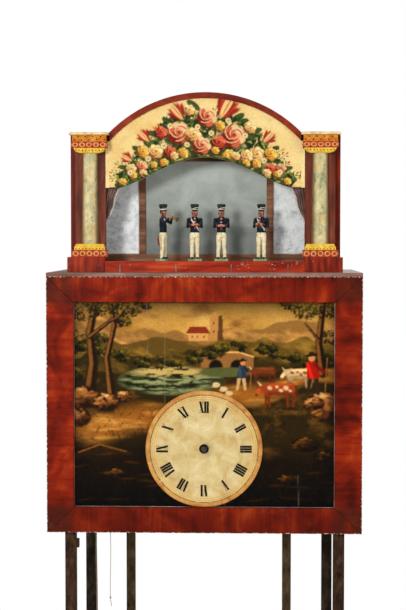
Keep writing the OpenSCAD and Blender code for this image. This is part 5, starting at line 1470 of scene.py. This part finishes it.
def cap(s):
    """Cap, wider at its crown, with a peak, a plate and pale cords."""
    s.stack([(0, 0, z, rx, ry) for z, rx, ry in (
        (96.2, 5.9, 6.2), (98, 6.0, 6.3), (102, 6.7, 7.0), (106.4, 8.2, 8.2), (108.2, 8.0, 8.0),
        (109.2, 5.8, 5.8))], 28, BLACK)
    s.stack([(0, -3.6, 95.7, 4.8, 5.4), (0, -3.2, 96.6, 5.0, 5.2)], 20, BLACK)
    s.ball((0, -6.7, 101.6), (1.5, 0.6, 1.8), GOLD, 12, 6)
    for low, rise in ((99.4, 3.4), (98.6, 0.4)):
        ring = []
        for a in circle(16) + [TAU]:
            z = low + rise * (0.5 + 0.5 * math.cos(a))
            r = 6.25 + 0.23 * (z - 98)
            ring.append((r * math.cos(a), r * 1.04 * math.sin(a), z))
        s.tube(ring, 0.55, 7, WHITE)


def bandsman(index):
    """Body of one bandsman, standing at the origin and facing the front."""
    s = Shape()
    s.box((-13, -10, 0.1), (13, 10, 4.4), GREEN)
    s.box((-12, -9, 4.4), (12, 9, 5.0), GREEN)
    for side in (-1, 1):
        leg(s, side, SPLAY[index])
    s.stack([(0, 0, 46, 9.5, 7.3), (0, 0, 52, 9.1, 7.0), (0, 0, 56.5, 8.3, 6.4)], 24, CREAM)
    s.tube([(0, -6.9, 55.5), (0, -7.0, 50), (0, -6.2, 45.6)], 0.3, 6, TAIL)
    s.stack([(0, 0, z, rx, ry) for z, rx, ry in TORSO], 28, BLUE)
    s.stack([(0, 0, 84.4, 4.6, 4.5), (0, 0, 88.0, 4.2, 4.3)], 20, TAIL)
    if index != 2:
        strap(s, -1)
        strap(s, 1)
    for k in range(5):
        z = 63 + 4.4 * k
        s.ball((0, -torso_at(z)[1] - 0.2, z), 0.7, GOLD, 8, 5)
    head(s)
    cap(s)
    return s


def arms(index):
    """Both arms with the instrument, turning on the shoulders."""
    s = Shape()
    hand_x, hand_y, hand_z = HANDS[index]
    for side in (-1, 1):
        shoulder = Vector((side * 12.0, 0, 80.0))
        elbow = Vector((side * ELBOWS[index][0], *ELBOWS[index][1:]))
        hand = Vector((side * hand_x, hand_y, hand_z))
        s.tube([shoulder + Vector((-side * 1.5, 0, 1.8)), shoulder, shoulder.lerp(elbow, 0.5),
                elbow, elbow.lerp(hand, 0.15)], [2.2, 3.1, 2.8, 2.6, 2.5], 14, BLUE)
        s.ball(elbow, 2.7, BLUE, 14, 8)
        s.tube([elbow, elbow.lerp(hand, 0.45), elbow.lerp(hand, 0.8)], [2.5, 2.3, 2.0], 14, BLUE)
        s.tube([elbow.lerp(hand, 0.7), elbow.lerp(hand, 0.82)], [2.35, 2.3], 14, TAIL)
        s.ball(hand, (2.0, 2.2, 2.2), SKIN, 14, 8)
        for k in range(4):
            tip = Vector((side * 0.9, hand_y - 1.6, hand_z + 1.6 - 1.1 * k))
            s.tube([hand + Vector((0, -1.2, 1.3 - 0.9 * k)), tip], [0.75, 0.6], 6, SKIN)
    s.lathe([(1.1, -12), (1.15, 12)], (0, 0, 80), "X", 12, BLUE)
    start, end, thin, wide = TOOLS[index]
    start, end = Vector(start), Vector(end)
    s.tube([start.lerp(end, t) for t, swell in BELL],
           [thin + (wide - thin) * swell for t, swell in BELL], 18, HORN if index else GOLD)
    for t in (0.12, 0.4, 0.62):
        s.tube([start.lerp(end, t), start.lerp(end, t + 0.04)], thin + 0.75, 14,
               WHITE if index else GOLD)
    return s


FIGURE_FLOOR = STAGE_Z + 20
figure_box = span("bandsman_2")
FIGURE_Y = (figure_box[0].y + figure_box[1].y) / 2
for index in range(4):
    stand = Matrix.Translation((FIGURE_X[index], FIGURE_Y, FIGURE_FLOOR)) \
        @ Matrix.Rotation(math.radians(FIGURE_TURN[index]), 4, "Z")
    for make, piece, body in ((bandsman, "bandsman_body_", "bandsman_"),
                              (arms, "bandsman_arms_", "arms_")):
        number = str(index + 1)
        make(index).turned(stand).piece(piece + number, body + number, FIGURE_FINISHES,
                                        "uniform", body + number, smooth=50)


# Case: boards, panelled doors, hinges, stand

dress(mahogany_z, "carcass")
dress(wood("dusty_board", DUSTY_BOARD, "X", chips=0.02, gloss=0.55, coat=0), "top_board")
dress(brass, "door_hinges")
dress(pine_x, "bottom_board", "seat_board")
dress(iron_brown, "front_legs", "stand_frame")
dress(iron_black, "rear_legs")
dress(iron_olive, "inner_legs")

DOOR_IN, DOOR_OUT, DOOR_BACK, DOOR_STILE, HINGE_X = 268, 280, 140, 34, 283.5
KNOB = [(7.5, 280), (7.5, 280.8), (4, 281.2), (3.4, 284), (4.5, 286), (6.4, 288.5), (6.6, 290.5),
        (5.4, 292.4), (2.5, 293)]
SCREW = [(1.7, 281.4), (1.5, 281.9), (0.5, 282.1)]


def door(side, word):
    """Framed door with a raised panel, two hinge leaves and a brass knob."""
    low, high = span(word + "_door")
    y0, y1, z0, z1 = low.y, DOOR_BACK, low.z, high.z
    ya, yb, za, zb = y0 + DOOR_STILE, y1 - DOOR_STILE, z0 + DOOR_STILE, z1 - DOOR_STILE
    wood_shape = Shape()
    # Stiles, rails, panel with its raised field, and the moulding round it
    for a, b, c, d, x0, x1, mark, less in (
            (y0, ya, z0, z1, DOOR_IN, DOOR_OUT, 0, 0),
            (yb, y1, z0, z1, DOOR_IN, DOOR_OUT, 0, 0),
            (ya + 0.05, yb - 0.05, z0, za, DOOR_IN, DOOR_OUT, 1, 0),
            (ya + 0.05, yb - 0.05, zb, z1, DOOR_IN, DOOR_OUT, 1, 0),
            (ya, yb, za, zb, DOOR_IN + 3, DOOR_OUT - 7, 0, 0),
            (ya + 8, yb - 8, za + 8, zb - 8, DOOR_OUT - 7.5, DOOR_OUT - 2.5, 0, 9),
            (ya, ya + 3, za, zb, DOOR_OUT - 7, DOOR_OUT - 1.5, 0, 0.8),
            (yb - 3, yb, za, zb, DOOR_OUT - 7, DOOR_OUT - 1.5, 0, 0.8),
            (ya, yb, za, za + 3, DOOR_OUT - 7, DOOR_OUT - 1.5, 0, 0.8),
            (ya, yb, zb - 3, zb, DOOR_OUT - 7, DOOR_OUT - 1.5, 0, 0.8)):
        wood_shape.rings([[(side * x, a + k, c + k), (side * x, b - k, c + k),
                           (side * x, b - k, d - k), (side * x, a + k, d - k)]
                          for x, k in ((x0, 0), (x1, less))], mark)
    wood_shape.piece(word + "_door_wood", word + "_door", [mahogany_z, mahogany_y], "mahogany",
                     word + "_door", bevel=0.7)
    fittings = Shape()
    fittings.lathe([(r, side * x) for r, x in KNOB], (0, y0 + 14, (z0 + z1) / 2), "X", 28)
    for z in (z0 + 60, z1 - 60):
        fittings.box((side * DOOR_OUT, y1 - 24, z - 18), (side * (DOOR_OUT + 1.5), y1, z))
        fittings.lathe([(3.2, z - 18), (3.2, z)], (side * HINGE_X, y1, 0), "Z", 24)
        for dy, dz in ((-19, -4), (-19, -14), (-9, -4), (-9, -14)):
            fittings.lathe([(r, side * x) for r, x in SCREW], (0, y1 + dy, z + dz), "X", 12)
    fittings.piece(word + "_door_fittings", word + "_door", brass, "brass", bevel=0.25)


door(-1, "left")
door(1, "right")


# Organ and time movement

def two_metals(name, size, share, shades, rough, metallic, depth):
    """One tarnished metal where the share is 0, another where it is 1."""
    f = Finish(name)
    tarnish = f.noise(size, detail=7, rough=0.65)
    first, second = (f.ramp(tarnish, places, pair) for places, pair in shades)
    return f.done(f.mix(share(f), first, second), rough(tarnish), metallic, tarnish, depth)


OLD_BRASS = ((0.35, 0.6), tones("110 78 36, 200 160 88"))
BOB_TOP = span("pendulum")[0].z + 50
HUB_FRONT, HUB_BEHIND = -137.5, -137
dress(brass, "movement_frame", "great_wheel", "third_wheel", "escape_wheel", "minute_wheel",
      "organ_great_wheel", "crank_shaft", "fly", "trip_rod", "weight_hook", "barrel")
dress(pine_z, "organ_cheeks", "pump_rod")
# Blackened steel where the pipes pass the dial, and brass in the movement
dress(two_metals("hub_metal", 8, lambda f: f.between(f.axis("Y"), HUB_FRONT * MM, HUB_BEHIND * MM),
                 (((0.35, 0.65), tones("30 28 27, 92 88 84")), OLD_BRASS),
                 lambda tarnish: 0.45, 0.8, 0.05), "hour_wheel", "cannon_pinion", "centre_wheel")
dress(pine_x, "key_frame", "wind_chest", "bellows_top")
dress(wood("pipe_wood", "96 56 28, 150 98 54, 178 126 76, 204 160 108", "Z", gloss=0.5,
           coat=0.05), "pipes")
# Brass bob low down, steel rod and anchor above it
dress(two_metals("pendulum_metal", 14,
                 lambda f: f.between(f.axis("Z"), (BOB_TOP - 0.1) * MM, BOB_TOP * MM),
                 (OLD_BRASS, ((0.35, 0.6), tones("80 76 72, 160 158 154"))),
                 lambda tarnish: 0.25 + tarnish * 0.3, 1.0, 0.03), "pendulum")

# Barrel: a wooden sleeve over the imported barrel, set with brass pins
BARREL_X0, BARREL_L, BARREL_Y, BARREL_Z = -145, 350, 10, 1135
KEYS, KEY_PITCH, TUNES, TUNE_PITCH, STEPS = 22, 15.5, 6, 1.9, 48
PIN_SHARE, PIN_FOOT, PIN_TOP = 0.16, 37.8, 39.7
WIRE_R, WIRE_Y, WIRE_LOW = 1.35, 90, 845
sleeve = [(36, BARREL_X0 - 0.3), (38.2, BARREL_X0 + 0.5), (38.2, BARREL_X0 + BARREL_L - 0.5),
          (36, BARREL_X0 + BARREL_L + 0.3)]
Shape().lathe(sleeve, (0, BARREL_Y, BARREL_Z), "X", 96).piece(
    "barrel_sleeve", "barrel",
    wood("barrel_wood", "150 110 62, 192 154 98, 212 180 126, 226 202 156", "X", gloss=0.5),
    "barrel_wood")


def key_x(key):
    """Place of a key along the barrel."""
    return BARREL_X0 + BARREL_L / 2 + (key - 10.5) * KEY_PITCH


def barrel_pins():
    """Pins of each tune beside one another, by chance around the barrel."""
    pins, chance = Shape(), random.Random(3)
    for key in range(KEYS):
        for tune in range(TUNES):
            x = key_x(key) + (tune - 2.5) * TUNE_PITCH
            for step in range(STEPS):
                if chance.random() > PIN_SHARE:
                    continue
                a = TAU * (step + chance.uniform(-0.2, 0.2)) / STEPS
                s, c = math.sin(a), math.cos(a)
                pins.rings([[(x + u, BARREL_Y + r * s + v * c, BARREL_Z + r * c - v * s)
                             for u, v in ((0.25, 0.35), (-0.25, 0.35), (-0.25, -0.35),
                                          (0.25, -0.35))] for r in (PIN_FOOT, PIN_TOP)])
    return pins


barrel_pins().piece("barrel_pins", "barrel", brass, "brass", smooth=0)

# Wires from the keys to the valves
wires = Shape()
for key in range(KEYS):
    wires.lathe([(WIRE_R, WIRE_LOW), (WIRE_R, span("wind_chest")[1].z)], (key_x(key), WIRE_Y, 0),
                "Z", 10)
wires.piece("key_wires", "case", steel, "steel")


# Bellows: folded leather between the boards

def leather_finish():
    """Brown hide with a fine grain of cells."""
    f = Finish("sheepskin")
    hide = f.noise(12, detail=7, rough=0.62)
    grain = f.add("TexVoronoi", "Distance", {"Vector": f.place, "Scale": 1 / (1.1 * MM)},
                  feature="F1")
    colour = f.ramp(hide, (0.34, 0.52, 0.68), tones("104 76 48, 150 116 80, 184 152 112"))
    return f.done(colour, 0.6 + hide * 0.2, height=grain, depth=0.12)


def bellows_wall(low, high):
    """Leather wall with one soft fold, drawn in half way up, round all four sides."""
    rings = []
    for t in (j / 14 for j in range(15)):
        inward = 1 - abs(2 * t - 1)
        draw = 6.5 * (1 - abs(2 * t - 1) ** 1.6) + 0.5
        x0, x1, y0, y1 = low.x + draw, high.x - draw, low.y + draw, high.y - draw
        z = low.z + (high.z - low.z) * t
        ring = []
        for a, b, count in (((x0, y0), (x1, y0), 30), ((x1, y0), (x1, y1), 14),
                            ((x1, y1), (x0, y1), 30), ((x0, y1), (x0, y0), 14)):
            along_x = a[1] == b[1]
            for k in range(count):
                crease = 0.5 * math.sin(2.6 * k + 3 * t) * inward
                ring.append((a[0] + (b[0] - a[0]) * k / count + (0 if along_x else crease),
                             a[1] + (b[1] - a[1]) * k / count + (crease if along_x else 0), z))
        rings.append(ring)
    return Shape().rings(rings)


bellows_low, bellows_high = span("bellows_leather")
leather = bellows_wall(bellows_low, bellows_high).piece(
    "bellows_folds", None, leather_finish(), "leather", smooth=70)
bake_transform(leather)
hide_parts("bellows_leather")


# Floor, light and background

WORLD_LIGHT = 0.5
FLOOR_R = 1.85


def seen_rays(tree, share):
    """Share for rays of the camera, of gloss and of glass."""
    camera_ray, glossy, clear = (tree.add("LightPath", "Is " + kind + " Ray", {})
                                 for kind in ("Camera", "Glossy", "Transmission"))
    either = tree.math("MAXIMUM", camera_ray, glossy)
    return tree.math("MAXIMUM", either, clear) * share


def studio():
    """Pale round floor that fades into a white background."""
    floor_mesh = bpy.data.meshes.new("floor")
    floor_mesh.from_pydata([(FLOOR_R * math.cos(a), FLOOR_R * math.sin(a), -0.0005)
                            for a in circle(96)], [], [list(range(96))])
    floor = bpy.data.objects.new("floor", floor_mesh)
    bpy.context.scene.collection.objects.link(floor)
    f = Finish("floor")
    shader = f.nodes["Principled BSDF"]
    shader.inputs["Base Color"].default_value = (0.86, 0.86, 0.85, 1)
    shader.inputs["Roughness"].default_value = 0.9
    reach = f.add("VectorMath", "Value", {0: f.place}, operation="LENGTH")
    fade = f.add("MapRange", "Result", {"Value": reach, "From Min": 0.3, "From Max": FLOOR_R,
                                        "To Min": 0.7, "To Max": 1.0},
                 interpolation_type="SMOOTHSTEP")
    glow = f.add("Emission", "Emission", {"Color": (1, 1, 1)})
    surface = f.add("MixShader", "Shader", {0: seen_rays(f, fade),
                                            1: Value(f, shader.outputs[0]), 2: glow})
    f.put(f.nodes["Material Output"].inputs["Surface"], surface)
    floor_mesh.materials.append(f.material)

    world = bpy.data.worlds.new("studio")
    bpy.context.scene.world = world
    world.use_nodes = True
    sky = Tree(world.node_tree)
    soft = sky.nodes["Background"]
    soft.inputs["Color"].default_value = (0.97, 0.98, 1.0, 1)
    soft.inputs["Strength"].default_value = WORLD_LIGHT
    white = sky.add("Background", "Background", {"Color": (1, 1, 1)})
    surface = sky.add("MixShader", "Shader", {0: seen_rays(sky, 1.0),
                                              1: Value(sky, soft.outputs[0]), 2: white})
    sky.put(sky.nodes["World Output"].inputs["Surface"], surface)


def lamp(name, place, target, size, power):
    """Round soft light that looks at a target. Places are in metres."""
    data = bpy.data.lights.new(name, "AREA")
    data.shape = "DISK"
    data.size = size
    data.energy = power
    lamp_object = bpy.data.objects.new(name, data)
    lamp_object.location = place
    aim = Vector(target) - Vector(place)
    lamp_object.rotation_euler = aim.to_track_quat("-Z", "Y").to_euler()
    bpy.context.scene.collection.objects.link(lamp_object)


studio()
lamp("key", (-1.3, -3.0, 1.95), (0, 0, 1.15), 0.7, 56)
lamp("fill", (2.2, -2.2, 1.4), (0, 0, 1.1), 1.6, 19)
lamp("behind", (0.6, 3.0, 2.4), (0, 0, 1.1), 1.4, 40)
